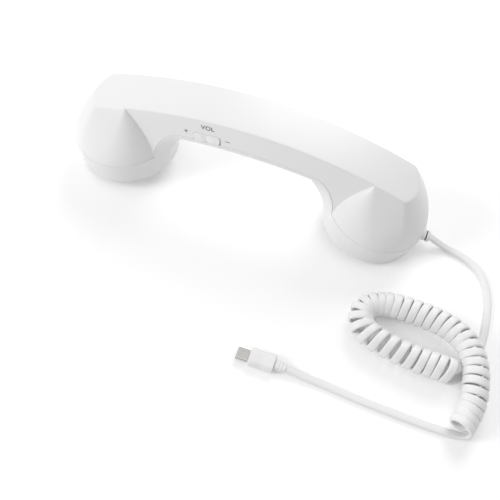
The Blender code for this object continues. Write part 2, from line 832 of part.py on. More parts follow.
# Places of the cups: the axis points into the handset, the ear at minus X and the mouth at plus X

RIM_CENTRE = CUP_CENTRE - TILT_Z * RING_HEIGHT
SEAT_TOP = CAP_RECESS + CAP_EDGE + GAP
CORNERS = [(-1, -1), (-1, 1), (1, -1), (1, 1)]
UPRIGHT = Matrix.Rotation(math.pi / 2, 4, "X")
ACROSS = Matrix(((0, 0, 1, 0), (1, 0, 0, 0), (0, 1, 0, 0), (0, 0, 0, 1)))


def cup_place(side):
    """Return a cup's own frame on its rim plane."""
    centre = Vector((RIM_CENTRE.x * side, 0, RIM_CENTRE.z))
    return Matrix.Translation(centre) @ Matrix.Rotation(CUP_TILT * side, 4, "Y")


def side_place(x, z):
    """Return a frame on the near side: X along the handle, Y into it and Z up its face."""
    slope = math.asin(x / BACK_RADIUS)
    turn = Matrix.Rotation(slope, 4, "Y") @ Matrix.Rotation(-SIDE_DRAFT, 4, "X")
    return Matrix.Translation((x, -side_half(x, z), z)) @ turn


def screw_profile(length):
    """Return the outline of a pan head screw, its head below and its tip up."""
    return [
        (0, length), (SCREW_RADIUS * 0.6, length), (SCREW_RADIUS, length - SCREW_RADIUS), (SCREW_RADIUS, 0),
        (SCREW_HEAD_RADIUS, 0), (SCREW_HEAD_RADIUS, -SCREW_HEAD_HEIGHT * 0.5),
        (SCREW_HEAD_RADIUS * 0.7, -SCREW_HEAD_HEIGHT), (0, -SCREW_HEAD_HEIGHT),
    ]


def add_screw(name, length, matrix):
    """Add a screw with a cross slot in its head."""
    item = place(turned(name, screw_profile(length), "steel", SMALL_STEPS), matrix)
    for turn in (0, 90):
        slot = box(name + "_slot_" + str(turn), (SCREW_HEAD_RADIUS * 1.3, SCREW_RADIUS * 0.4, SCREW_HEAD_HEIGHT))
        shift = at(0, 0, -SCREW_HEAD_HEIGHT)
        place(slot, matrix @ shift @ Matrix.Rotation(math.radians(turn), 4, "Z"))
        cut(item, slot)
    return item


def pilot(name, length, matrix):
    """Return the hole that a screw turns into."""
    clear = length + 2 * GAP
    return place(rods(name, SCREW_RADIUS + GAP, -clear, clear, [Matrix()]), matrix)


def ring_trim():
    """Return the inside of both rings, out to the middle of their walls."""
    reach = CUP_RADIUS - WALL * 0.75
    return rods("ring_trim", reach, 0, RING_HEIGHT, [cup_place(-1), cup_place(1)], steps=ROUND_STEPS)


def build_housing():
    """Return the two hollow shells before their bosses and cut-outs."""
    back = upper_body("back_shell", 0, 0, "shell_plastic")
    cut(back, upper_body("back_hollow", WALL, FAR / 4))
    front = lower_body("front_shell", "shell_plastic")
    cut(front, cup_hollow("cup_hollow", FAR / 4, RING_HEIGHT + FAR / 8))
    frames = [cup_place(-1), cup_place(1)]
    cut(front, rods("cap_seats", CAP_RADIUS + GAP, -FAR / 8, SEAT_TOP, frames, steps=ROUND_STEPS))
    cut(front, place(box("floor_trim", (3 * END_REACH, 4 * CUP_RADIUS, FAR)), at(0, 0, -FAR / 2)))
    return back, front


def build_front_bosses(front):
    """Add the screw lugs and the shelf of the cord clamp inside the rings."""
    reach = CUP_RADIUS - POST_Y + POST_RADIUS
    middle = POST_Y - POST_RADIUS + reach / 2
    frames = [cup_place(side) @ at(0, y_side * middle, LUG_TOP - LUG_HEIGHT / 2) for side, y_side in CORNERS]
    inside = ring_trim()
    lugs = box("lugs", (2 * POST_RADIUS, reach, LUG_HEIGHT), frames=frames)
    combine(lugs, inside, "INTERSECT")
    fuse(front, lugs)
    shelf = box("shelf", (SHELF_LENGTH, 2 * CUP_RADIUS, SHELF_THICK))
    place(shelf, cup_place(1) @ at(CLAMP_REACH, 0, SHELF_TOP - SHELF_THICK / 2))
    combine(shelf, inside, "INTERSECT")
    fuse(front, shelf)
    frames = [cup_place(1) @ at(CLAMP_REACH, y_side * CLAMP_SCREW_Y, 0) for y_side in (-1, 1)]
    fuse(front, rods("clamp_posts", CLAMP_POST_RADIUS, SHELF_TOP - SHELF_THICK / 2, CLAMP_Z - GAP, frames))
    bottom = CLAMP_Z - CLAMP_SCREW_LENGTH
    cut(front, rods("clamp_pilots", SCREW_RADIUS + GAP, bottom, CLAMP_Z + GAP, frames))
    frames = [cup_place(side) @ at(0, y_side * POST_Y, 0) for side, y_side in CORNERS]
    cut(front, rods("lug_holes", SCREW_RADIUS + GAP, LUG_TOP - 2 * LUG_HEIGHT, LUG_TOP + LUG_HEIGHT, frames))


def build_back_bosses(back):
    """Add the screw posts and the rocker's fulcrum under the band."""
    inside = upper_body("wall_middle", WALL / 2, FAR)
    frames = [cup_place(side) @ at(0, y_side * POST_Y, 0) for side, y_side in CORNERS]
    posts = rods("shell_posts", POST_RADIUS, LUG_TOP + GAP, LUG_TOP + FAR, frames)
    combine(posts, inside, "INTERSECT")
    fuse(back, posts)
    board_top = BOARD_Z + BOARD_THICK / 2 + GAP
    board_posts = rods("board_posts", BOARD_POST_RADIUS, board_top, board_top + FAR / 2, board_screw_places())
    combine(board_posts, inside, "INTERSECT")
    fuse(back, board_posts)
    weight_top = WEIGHT_Z + WEIGHT_HEIGHT / 2 + GAP
    weight_post = rods("weight_post", POST_RADIUS, weight_top, weight_top + FAR / 2, [at(WEIGHT_X, 0, 0)])
    combine(weight_post, inside, "INTERSECT")
    fuse(back, weight_post)
    face_y = -side_half(ROCKER_X, ROCKER_Z) + ROCKER_PIVOT + GAP
    fulcrum = box("fulcrum", (FULCRUM_LENGTH, FULCRUM_THICK, FAR / 2))
    place(fulcrum, at(ROCKER_X, face_y + FULCRUM_THICK / 2, ROCKER_Z - ROCKER_HEIGHT / 4 + FAR / 4))
    combine(fulcrum, inside, "INTERSECT")
    fuse(back, fulcrum)


def build_shell_screws(back):
    """Join the shells by two screws in each cup, driven from the cap's side."""
    for side, y_side in CORNERS:
        cup = "ear" if side < 0 else "mouth"
        hand = "near" if y_side < 0 else "far"
        frame = cup_place(side) @ at(0, y_side * POST_Y, LUG_TOP - LUG_HEIGHT - GAP)
        name = cup + "_screw_" + hand
        cut(back, pilot(name + "_pilot", SHELL_SCREW_LENGTH, frame))
        add_screw(name, SHELL_SCREW_LENGTH, frame)


def cap_inner(radius):
    """Return the height of a cap's inner face over the rim plane."""
    dish_radius = CAP_RADIUS - CAP_LAND
    share = min(1, radius / dish_radius)
    return CAP_RECESS + CAP_WALL + CAP_DISH * (1 - share ** 2)


def cap_profile(collar, collar_top):
    """Return the outline of a dished cap with a collar on its inner face."""
    dish_radius = CAP_RADIUS - CAP_LAND
    outer = collar + COLLAR_WALL
    step = CAP_RADIUS - CAP_LIP
    profile = [(0, cap_inner(0)), (collar, cap_inner(collar)), (collar, collar_top), (outer, collar_top)]
    profile += [(outer, cap_inner(outer)), (dish_radius, cap_inner(dish_radius)), (step, cap_inner(step))]
    profile += [(step, CAP_RECESS + CAP_EDGE), (CAP_RADIUS, CAP_RECESS + CAP_EDGE)]
    profile += [(CAP_RADIUS, CAP_RECESS + CAP_ROUND), (CAP_RADIUS - CAP_ROUND, CAP_RECESS)]
    for row in range(DISH_STEPS + 1):
        radius = dish_radius * (1 - row / DISH_STEPS)
        profile.append((radius, cap_inner(radius) - CAP_WALL))
    return profile


def hole_places(frame, step, rings):
    """Return places on rings about a cup's axis, each ring with six more than the last."""
    places = [frame]
    for ring in range(1, rings + 1):
        count = 6 * ring
        for i in range(count):
            places.append(frame @ Matrix.Rotation(2 * math.pi * i / count, 4, "Z") @ at(ring * step, 0, 0))
    return places


def build_earpiece():
    """Build the ear cap with the speaker in its collar."""
    frame = cup_place(-1)
    base = cap_inner(SPEAKER_RADIUS - GASKET_WIDTH) + GAP
    profile = cap_profile(SPEAKER_RADIUS + GAP, SPEAKER_COLLAR_TOP)
    cap = place(turned("ear_cap", profile, "cap_plastic", ROUND_STEPS), frame)
    places = hole_places(frame, EAR_HOLE_STEP, EAR_HOLE_RINGS)
    cut(cap, rods("ear_holes", EAR_HOLE_RADIUS, 0, SPEAKER_COLLAR_TOP, places, steps=HOLE_STEPS))
    inner = SPEAKER_RADIUS - GASKET_WIDTH
    front = base + GASKET_HEIGHT
    gasket = [(inner, front), (SPEAKER_RADIUS, front), (SPEAKER_RADIUS, base), (inner, base)]
    place(turned("speaker_gasket", gasket, "foam", ring=True), frame)
    front += GAP
    back = front + SPEAKER_DEPTH
    flange = front + SPEAKER_FLANGE
    neck = MAGNET_RADIUS + GAP
    throat = MAGNET_RADIUS + BASKET_STEP
    basket = [
        (neck, back), (throat + SPEAKER_WALL, back), (inner + 2 * SPEAKER_WALL, flange),
        (SPEAKER_RADIUS, flange), (SPEAKER_RADIUS, front), (inner + SPEAKER_WALL, front),
        (inner + SPEAKER_WALL, flange - SPEAKER_WALL), (throat, back - SPEAKER_WALL),
        (neck, back - SPEAKER_WALL),
    ]
    place(turned("speaker_frame", basket, "steel", ring=True), frame)
    magnet_front = back - 2 * SPEAKER_WALL - GAP
    magnet = rods("speaker_magnet", MAGNET_RADIUS, magnet_front, magnet_front + MAGNET_HEIGHT, [Matrix()],
                  "steel", INNER_STEPS)
    place(magnet, frame)
    top = magnet_front - GAP
    edge = flange - SPEAKER_WALL / 2
    cone = [
        (0, top - SPEAKER_WALL), (CONE_DOME, top), (inner + GAP, edge), (inner + GAP, edge - CONE_THICK),
        (CONE_DOME, top - CONE_THICK), (0, top - SPEAKER_WALL - CONE_THICK),
    ]
    place(turned("speaker_cone", cone, "paper_cone"), frame)
    return back


def build_microphone():
    """Build the mouth cap with the microphone in its collar and return the height of the boot's back."""
    frame = cup_place(1)
    capsule = CAPSULE_RADIUS + GAP
    outer = capsule + BOOT_WALL
    base = cap_inner(0) + GAP
    profile = cap_profile(outer + GAP, MIC_COLLAR_TOP)
    cap = place(turned("mouth_cap", profile, "cap_plastic", ROUND_STEPS), frame)
    places = hole_places(frame, MOUTH_HOLE_STEP, MOUTH_HOLE_RINGS)
    cut(cap, rods("mouth_holes", MOUTH_HOLE_RADIUS, 0, base, places, steps=HOLE_STEPS))
    roof = base + CAPSULE_HEIGHT + GAP
    back = roof + BOOT_BACK
    boot = [(0, back), (outer, back), (outer, base), (capsule, base), (capsule, roof), (0, roof)]
    place(turned("mic_boot", boot, "gland_rubber"), frame)
    top = base + CAPSULE_HEIGHT
    place(rods("mic_capsule", CAPSULE_RADIUS, base, top, [Matrix()], "steel", INNER_STEPS), frame)
    return back


def board_screw_places():
    """Return the upright lines of the board's two screws."""
    return [at(BOARD_X - BOARD_SCREW_X, 0, 0), at(BOARD_X + BOARD_SCREW_X, 0, 0)]


def build_board(back):
    """Build the circuit board, its chip and screws, and the weight in the other half of the handle."""
    board = place(box("circuit_board", (BOARD_LENGTH, BOARD_WIDTH, BOARD_THICK), "board_green"),
                  at(BOARD_X, 0, BOARD_Z))
    places = board_screw_places()
    cut(board, rods("board_holes", SCREW_RADIUS + GAP, BOARD_Z - BOARD_THICK, BOARD_Z + BOARD_THICK, places))
    chip_z = BOARD_Z + BOARD_THICK / 2 + GAP + CHIP_HEIGHT / 2
    place(box("audio_chip", (CHIP_SIZE, CHIP_SIZE, CHIP_HEIGHT), "black_plastic"), at(CHIP_X, 0, chip_z))
    for line, hand in zip(places, ("ear", "mouth")):
        frame = line @ at(0, 0, BOARD_Z - BOARD_THICK / 2 - GAP)
        cut(back, pilot("board_pilot_" + hand, BOARD_SCREW_LENGTH, frame))
        add_screw("board_screw_" + hand, BOARD_SCREW_LENGTH, frame)
    weight = place(box("handle_weight", (WEIGHT_LENGTH, WEIGHT_WIDTH, WEIGHT_HEIGHT), "steel"),
                   at(WEIGHT_X, 0, WEIGHT_Z))
    cut(weight, rods("weight_hole", SCREW_RADIUS + GAP, WEIGHT_Z - WEIGHT_HEIGHT, WEIGHT_Z + WEIGHT_HEIGHT,
                     [at(WEIGHT_X, 0, 0)]))
    frame = at(WEIGHT_X, 0, WEIGHT_Z - WEIGHT_HEIGHT / 2 - GAP)
    cut(back, pilot("weight_pilot", WEIGHT_SCREW_LENGTH, frame))
    add_screw("weight_screw", WEIGHT_SCREW_LENGTH, frame)


def build_rocker(back):
    """Build the volume rocker in its notch above the parting line, and the two switches behind it."""
    face = side_place(ROCKER_X, ROCKER_Z)
    frame = face @ at(0, ROCKER_PIVOT, 0)
    thick = ROCKER_PROUD + ROCKER_SKIN
    rocker = rounded_plate("volume_rocker", ROCKER_LENGTH, ROCKER_HEIGHT, ROCKER_ROUND, thick, "key_plastic")
    rocker.data.transform(at(0, ROCKER_SKIN - thick / 2 - ROCKER_PIVOT, 0) @ UPRIGHT)
    place(rocker, frame)
    dip = rods("rocker_dip", ROCKER_DIP_RADIUS, -FAR, FAR, [Matrix()], steps=DIP_STEPS)
    cut(rocker, place(dip, face @ at(0, ROCKER_DIP - ROCKER_PROUD - ROCKER_DIP_RADIUS, 0)))
    round_edges(rocker, KEY_ROUND, 2)
    flange_y = WALL + ROCKER_PLAY
    stem = box("rocker_stem", (ROCKER_LENGTH - 2 * ROCKER_ROUND, flange_y, ROCKER_HEIGHT / 2))
    fuse(rocker, place(stem, face @ at(0, ROCKER_SKIN / 2 + flange_y / 2, 0)))
    flange = box("rocker_flange", (ROCKER_LENGTH + 2 * ROCKER_FLANGE, ROCKER_FLANGE_THICK,
                                   ROCKER_HEIGHT - ROCKER_FLANGE))
    fuse(rocker, place(flange, face @ at(0, flange_y + ROCKER_FLANGE_THICK / 2, ROCKER_FLANGE / 2)))
    nub_y = ROCKER_PIVOT - flange_y
    nub = box("rocker_nub", (FULCRUM_LENGTH, nub_y, ROCKER_HEIGHT / 4))
    fuse(rocker, place(nub, face @ at(0, flange_y + nub_y / 2, 0)))
    clear = 2 * ROCKER_CLEAR
    window = rounded_plate("rocker_window", ROCKER_LENGTH + clear, ROCKER_HEIGHT + clear,
                           ROCKER_ROUND + ROCKER_CLEAR, 4 * WALL)
    cut(back, place(window, face @ UPRIGHT))
    notch = box("rocker_notch", (ROCKER_LENGTH + clear, 4 * WALL, ROCKER_HEIGHT))
    cut(back, place(notch, face @ at(0, 0, -ROCKER_HEIGHT / 2)))
    for side, name in ((-1, "volume_switch_up"), (1, "volume_switch_down")):
        shift = side * KEY_SWITCH_X
        tip = face @ Vector((shift, flange_y + ROCKER_FLANGE_THICK + GAP, 0))
        body_y = tip.y + KEY_PLUNGER_LENGTH + KEY_SWITCH_DEPTH / 2
        switch = box(name, (KEY_SWITCH_LENGTH, KEY_SWITCH_DEPTH, KEY_SWITCH_HEIGHT), "black_plastic")
        place(switch, at(tip.x, body_y, KEY_SWITCH_Z))
        plunger = rods(name + "_plunger", KEY_PLUNGER_RADIUS, 0, KEY_PLUNGER_LENGTH + KEY_PLUNGER_RADIUS,
                       [Matrix()])
        fuse(switch, place(plunger, at(tip.x, tip.y, KEY_SWITCH_Z) @ UPRIGHT.inverted()))


def build_answer_key(front):
    """Build the answer key in the underside and the switch above it."""
    roof = seam_z(ANSWER_X) - GAP
    thick = LIP_HEIGHT + ANSWER_PROUD + GAP + ANSWER_FLANGE_THICK / 2
    frame = at(ANSWER_X, 0, roof)
    corner = ANSWER_WIDTH / 2 - KEY_ROUND
    key = rounded_plate("answer_button", ANSWER_LENGTH, ANSWER_WIDTH, corner, thick, "key_plastic")
    key.data.transform(at(0, 0, thick / 2 - LIP_HEIGHT - ANSWER_PROUD))
    place(key, frame)
    round_edges(key, KEY_ROUND, 2)
    flange = rounded_plate("answer_flange", ANSWER_LENGTH + 2 * ANSWER_FLANGE, ANSWER_WIDTH + 2 * ANSWER_FLANGE,
                           corner, ANSWER_FLANGE_THICK)
    fuse(key, place(flange, frame @ at(0, 0, GAP + ANSWER_FLANGE_THICK / 2)))
    window = rounded_plate("answer_window", ANSWER_LENGTH + 2 * GAP, ANSWER_WIDTH + 2 * GAP, corner + GAP,
                           4 * LIP_HEIGHT)
    cut(front, place(window, frame @ at(0, 0, -LIP_HEIGHT)))
    rest = roof + 2 * GAP + ANSWER_FLANGE_THICK + ANSWER_TRAVEL
    top = BOARD_Z - BOARD_THICK / 2 - GAP
    height = (top - rest) / 2
    switch = box("answer_switch", (ANSWER_SWITCH_SIZE, ANSWER_SWITCH_SIZE, height), "black_plastic")
    place(switch, at(ANSWER_X, 0, top - height / 2))
    stud = rods("answer_stud", ANSWER_SWITCH_SIZE / 4, rest, top - height / 2, [at(ANSWER_X, 0, 0)])
    fuse(switch, stud)


def build_cord_exit(front):
    """Build the rubber gland in the mouth ring and the clamp behind it, and return the gland's outer face."""
    ring_radius = RIM_RADIUS + (CUP_RADIUS - RIM_RADIUS) * EXIT_RISE / RING_HEIGHT
    inner = LEDGE_RADIUS - GAP
    collar = ring_radius + GLAND_COLLAR
    outer = ring_radius + GLAND_PROUD
    frame = cup_place(1) @ at(0, 0, EXIT_RISE)
    corner = GLAND_HEIGHT / 2 - KEY_ROUND
    gland = rounded_plate("cord_grommet", GLAND_WIDTH, GLAND_HEIGHT, corner, collar - inner, "gland_rubber")
    gland.data.transform(at((collar + inner) / 2, 0, 0) @ ACROSS)
    place(gland, frame)
    round_edges(gland, KEY_ROUND, 1)
    groove = 2 * GLAND_GROOVE
    neck = rounded_plate("gland_neck", GLAND_WIDTH - groove, GLAND_HEIGHT - groove, corner - GLAND_GROOVE,
                         outer - inner - groove)
    fuse(gland, place(neck, frame @ at((outer + inner) / 2, 0, 0) @ ACROSS))
    head_start = collar + GLAND_GROOVE
    head = rounded_plate("gland_head", GLAND_WIDTH, GLAND_HEIGHT, corner, outer - head_start)
    round_edges(head, KEY_ROUND, 1)
    fuse(gland, place(head, frame @ at((outer + head_start) / 2, 0, 0) @ ACROSS))
    flange = rounded_plate("gland_flange", GLAND_WIDTH + 2 * GLAND_FLANGE, GLAND_HEIGHT + 2 * GLAND_FLANGE,
                           corner, GLAND_FLANGE_THICK)
    fuse(gland, place(flange, frame @ at(inner - GLAND_FLANGE_THICK / 4, 0, 0) @ ACROSS))
    hole = rounded_plate("gland_hole", GLAND_WIDTH + 2 * GAP, GLAND_HEIGHT + 2 * GAP, corner + GAP, 4 * WALL)
    cut(front, place(hole, frame @ at(ring_radius, 0, 0) @ ACROSS))
    clamp = place(box("cord_clamp", (CLAMP_WIDTH, CLAMP_LENGTH, CLAMP_THICK), "steel"),
                  cup_place(1) @ at(CLAMP_REACH, 0, CLAMP_Z + CLAMP_THICK / 2))
    frames = [cup_place(1) @ at(CLAMP_REACH, y_side * CLAMP_SCREW_Y, 0) for y_side in (-1, 1)]
    cut(clamp, rods("clamp_holes", SCREW_RADIUS + GAP, CLAMP_Z - CLAMP_THICK, CLAMP_Z + 2 * CLAMP_THICK, frames))
    for screw_frame, hand in zip(frames, ("near", "far")):
        seat = screw_frame @ at(0, 0, CLAMP_Z + CLAMP_THICK + GAP) @ Matrix.Rotation(math.pi, 4, "X")
        add_screw("clamp_screw_" + hand, CLAMP_SCREW_LENGTH, seat)
    return frame @ Vector((outer, 0, 0)), frame @ Vector((inner - GLAND_FLANGE_THICK, 0, 0))


def build_leads(gland_inner, speaker_back, mic_back):
    """Build the cord's inner end and the leads of the speaker and the microphone."""
    mouth = cup_place(1)
    outward = (mouth.to_3x3() @ Vector((1, 0, 0))).normalized()
    clamp = mouth @ at(CLAMP_REACH, 0, 0)
    route = [gland_inner - outward * GAP] + [clamp @ Vector(point) for point in in_metres(INNER_CORD_START)]
    route += in_metres(INNER_CORD_END, SEAM_HEIGHT)
    tube("inner_cord", route, SHEATH_RADIUS, 4 * SHEATH_RADIUS, "cord_jacket")
    route = [mouth @ Vector((0, 0, mic_back + GAP))] + [mouth @ Vector(point) for point in in_metres(MIC_START)]
    tube("mic_lead", route + in_metres(MIC_END, SEAM_HEIGHT), LEAD_RADIUS, 12 * LEAD_RADIUS, "lead_black")
    ear = cup_place(-1)
    side = MAGNET_RADIUS + BASKET_STEP / 2
    route = [ear @ Vector((side, 0, speaker_back + GAP))]
    route += [ear @ Vector(point) for point in in_metres(SPEAKER_START)]
    tube("speaker_lead", route + in_metres(SPEAKER_END, SEAM_HEIGHT), LEAD_RADIUS, 12 * LEAD_RADIUS, "lead_red")


def coil_end(end, after):
    """Return where the cord joins an end of the coil, low on its flat end."""
    outward = (end - after).normalized()
    return end + outward * GAP - Vector((0, 0, end.z - CORD_FLOOR))


def build_cord(gland_face):
    """Build the cord in three pieces, from the gland to the coil, the coil's outer shape, and on to the plug."""
    outward = (cup_place(1).to_3x3() @ Vector((1, 0, 0))).normalized()
    coil = [Vector(point) for point in in_metres(COIL_ROUTE)]
    start = coil_end(coil[0], coil[1])
    finish = coil_end(coil[-1], coil[-2])
    lead = [gland_face + outward * GAP] + [Vector(point) for point in in_metres(LEAD_ROUTE)] + [start]
    tube("cord_lead", lead, CORD_ROUND / 2, 2 * CORD_ROUND, "cord_jacket")
    tube("cord_coil", coil, COIL_RADIUS, COIL_RADIUS, "cord_jacket", 3)
    plug_end = Vector((PLUG_X + PLUG_LENGTH / 2 + RELIEF_LENGTH + 2 * GAP, PLUG_Y, PLUG_HEIGHT / 2))
    tail = [finish] + [Vector(point) for point in in_metres(TAIL_ROUTE)] + [plug_end]
    tube("cord_tail", tail, CORD_ROUND / 2, 2 * CORD_ROUND, "cord_jacket")


def build_plug():
    """Build the plug's grip, its strain relief, its metal shell and the contact block inside."""
    axis = at(PLUG_X, PLUG_Y, PLUG_HEIGHT / 2)
    boot = rounded_plate("plug_boot", PLUG_WIDTH, PLUG_HEIGHT, PLUG_ROUND, PLUG_LENGTH, "cord_jacket")
    boot.data.transform(ACROSS)
    place(boot, axis)
    round_edges(boot, KEY_ROUND, 2)
    relief = rounded_plate("plug_relief", RELIEF_WIDTH, RELIEF_HEIGHT, RELIEF_HEIGHT / 2 - KEY_ROUND,
                           RELIEF_LENGTH, "cord_jacket")
    relief.data.transform(ACROSS)
    for vertex in relief.data.vertices:
        if vertex.co.x > 0:
            vertex.co.y *= RELIEF_TAPER
            vertex.co.z *= RELIEF_TAPER
    place(relief, axis @ at((PLUG_LENGTH + RELIEF_LENGTH) / 2 + GAP, 0, 0))
    shell_x = -(PLUG_LENGTH + SHELL_LENGTH) / 2 - GAP
    corner = SHELL_HEIGHT / 2 - SHELL_WALL / 2
    shell = rounded_plate("plug_shell", SHELL_WIDTH, SHELL_HEIGHT, corner, SHELL_LENGTH, "plug_metal")
    shell.data.transform(ACROSS)
    place(shell, axis @ at(shell_x, 0, 0))
    inner_height = SHELL_HEIGHT - 2 * SHELL_WALL
    bore = rounded_plate("plug_bore", SHELL_WIDTH - 2 * SHELL_WALL, inner_height, corner - SHELL_WALL,
                         SHELL_LENGTH)
    cut(shell, place(bore, axis @ at(shell_x - SHELL_WALL, 0, 0) @ ACROSS))
    insert_x = -PLUG_LENGTH / 2 - 2 * GAP - SHELL_WALL - INSERT_DEPTH / 2
    insert = rounded_plate("plug_insert", SHELL_WIDTH - 2 * SHELL_WALL - 2 * GAP, inner_height - 2 * GAP,
                           corner - SHELL_WALL - GAP, INSERT_DEPTH, "black_plastic")
    insert.data.transform(ACROSS)
    place(insert, axis @ at(insert_x, 0, 0))


def main():
    """Build the whole handset."""
    back, front = build_housing()
    build_back_bosses(back)
    build_front_bosses(front)
    build_shell_screws(back)
    speaker_back = build_earpiece()
    mic_back = build_microphone()
    build_board(back)
    build_rocker(back)
    build_answer_key(front)
    gland_face, gland_inner = build_cord_exit(front)
    build_leads(gland_inner, speaker_back, mic_back)
    build_cord(gland_face)
    build_plug()


main()
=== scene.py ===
"""Looks of a corded telephone handset: the moulded shells, the key, the caps, the curly cord and the plug."""

import logging
import math
from dataclasses import dataclass, field
from enum import Enum
from typing import Callable, Iterable, Sequence

import bmesh
import bpy
from mathutils import Matrix, Vector


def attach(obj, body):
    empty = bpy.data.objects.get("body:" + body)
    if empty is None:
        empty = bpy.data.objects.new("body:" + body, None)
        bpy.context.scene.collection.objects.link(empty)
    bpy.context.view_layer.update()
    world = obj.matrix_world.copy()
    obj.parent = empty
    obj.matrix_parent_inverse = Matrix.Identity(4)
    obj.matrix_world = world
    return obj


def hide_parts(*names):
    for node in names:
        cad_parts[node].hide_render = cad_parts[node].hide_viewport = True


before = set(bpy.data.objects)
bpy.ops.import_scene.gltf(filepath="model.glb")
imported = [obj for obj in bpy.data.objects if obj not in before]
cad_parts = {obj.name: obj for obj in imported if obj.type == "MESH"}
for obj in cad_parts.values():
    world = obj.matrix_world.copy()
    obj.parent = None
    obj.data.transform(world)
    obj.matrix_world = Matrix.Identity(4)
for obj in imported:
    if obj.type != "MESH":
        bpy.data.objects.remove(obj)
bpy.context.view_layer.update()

LOG = logging.getLogger("handset")
MM = 0.001
GAP = 0.3 * MM
MERGE = 0.00001
SMOOTH_ANGLE = math.radians(38)
SOLVE_STEPS = 46
PAST_BACK = math.pi * 0.99
SOFT_STEPS = 4
LEAST_CORNER = 0.05 * MM
TINY = 1e-9
WHITE = (1.0, 1.0, 1.0, 1.0)
UPRIGHT = Matrix.Rotation(math.pi / 2, 4, "X")
ACROSS = Matrix(((0, 0, 1, 0), (1, 0, 0, 0), (0, 1, 0, 0), (0, 0, 0, 1)))


class Cup(Enum):
    """The two ends of the handset, each with its side of the middle."""

    EAR = -1
    MOUTH = 1


class Surface(Enum):
    """How a finish is textured, with the strength of its bump."""

    MOULDED = ("moulded", 0.6)
    BRUSHED = ("brushed", 0.6)
    SOFT = ("soft", 0.35)

    @property
    def bump(self) -> float:
        """The strength of its bump."""
        return self.value[1]


# Shader groups


class NodeBench:
    """Adds shader nodes to a tree and joins their sockets."""

    def __init__(self, tree: bpy.types.NodeTree) -> None:
        """Keep the tree."""
        self.tree = tree

    def feed(self, node: bpy.types.Node, label: str | int, value: object) -> None:
        """Set an input, or link the output that feeds it.

        Args:
            node: The node.
            label: The input's name or place.
            value: A constant, or another node's output.
        """
        socket = node.inputs[label]
        if isinstance(value, bpy.types.NodeSocket):
            self.tree.links.new(value, socket)
        else:
            socket.default_value = value

    def add(self, kind: str, feeds: dict[str | int, object], **settings: object) -> bpy.types.Node:
        """Add a node.

        Args:
            kind: Its type, without "ShaderNode".
            feeds: Its inputs by name or place, each with a constant or the output that feeds it.
            settings: Its own settings.

        Returns:
            The node.
        """
        node = self.tree.nodes.new("ShaderNode" + kind)
        for label, value in settings.items():
            setattr(node, label, value)
        for label, value in feeds.items():
            self.feed(node, label, value)
        return node

    def math(self, operation: str, *feeds: object) -> bpy.types.NodeSocket:
        """Add a math node.

        Args:
            operation: What it does.
            feeds: Its inputs in order, each a constant or an output.

        Returns:
            Its output.
        """
        return self.add("Math", dict(enumerate(feeds)), operation=operation).outputs[0]

    def place(self) -> bpy.types.NodeSocket:
        """Return the output that gives a point's place on its own object."""
        return self.add("TexCoord", {}).outputs["Object"]


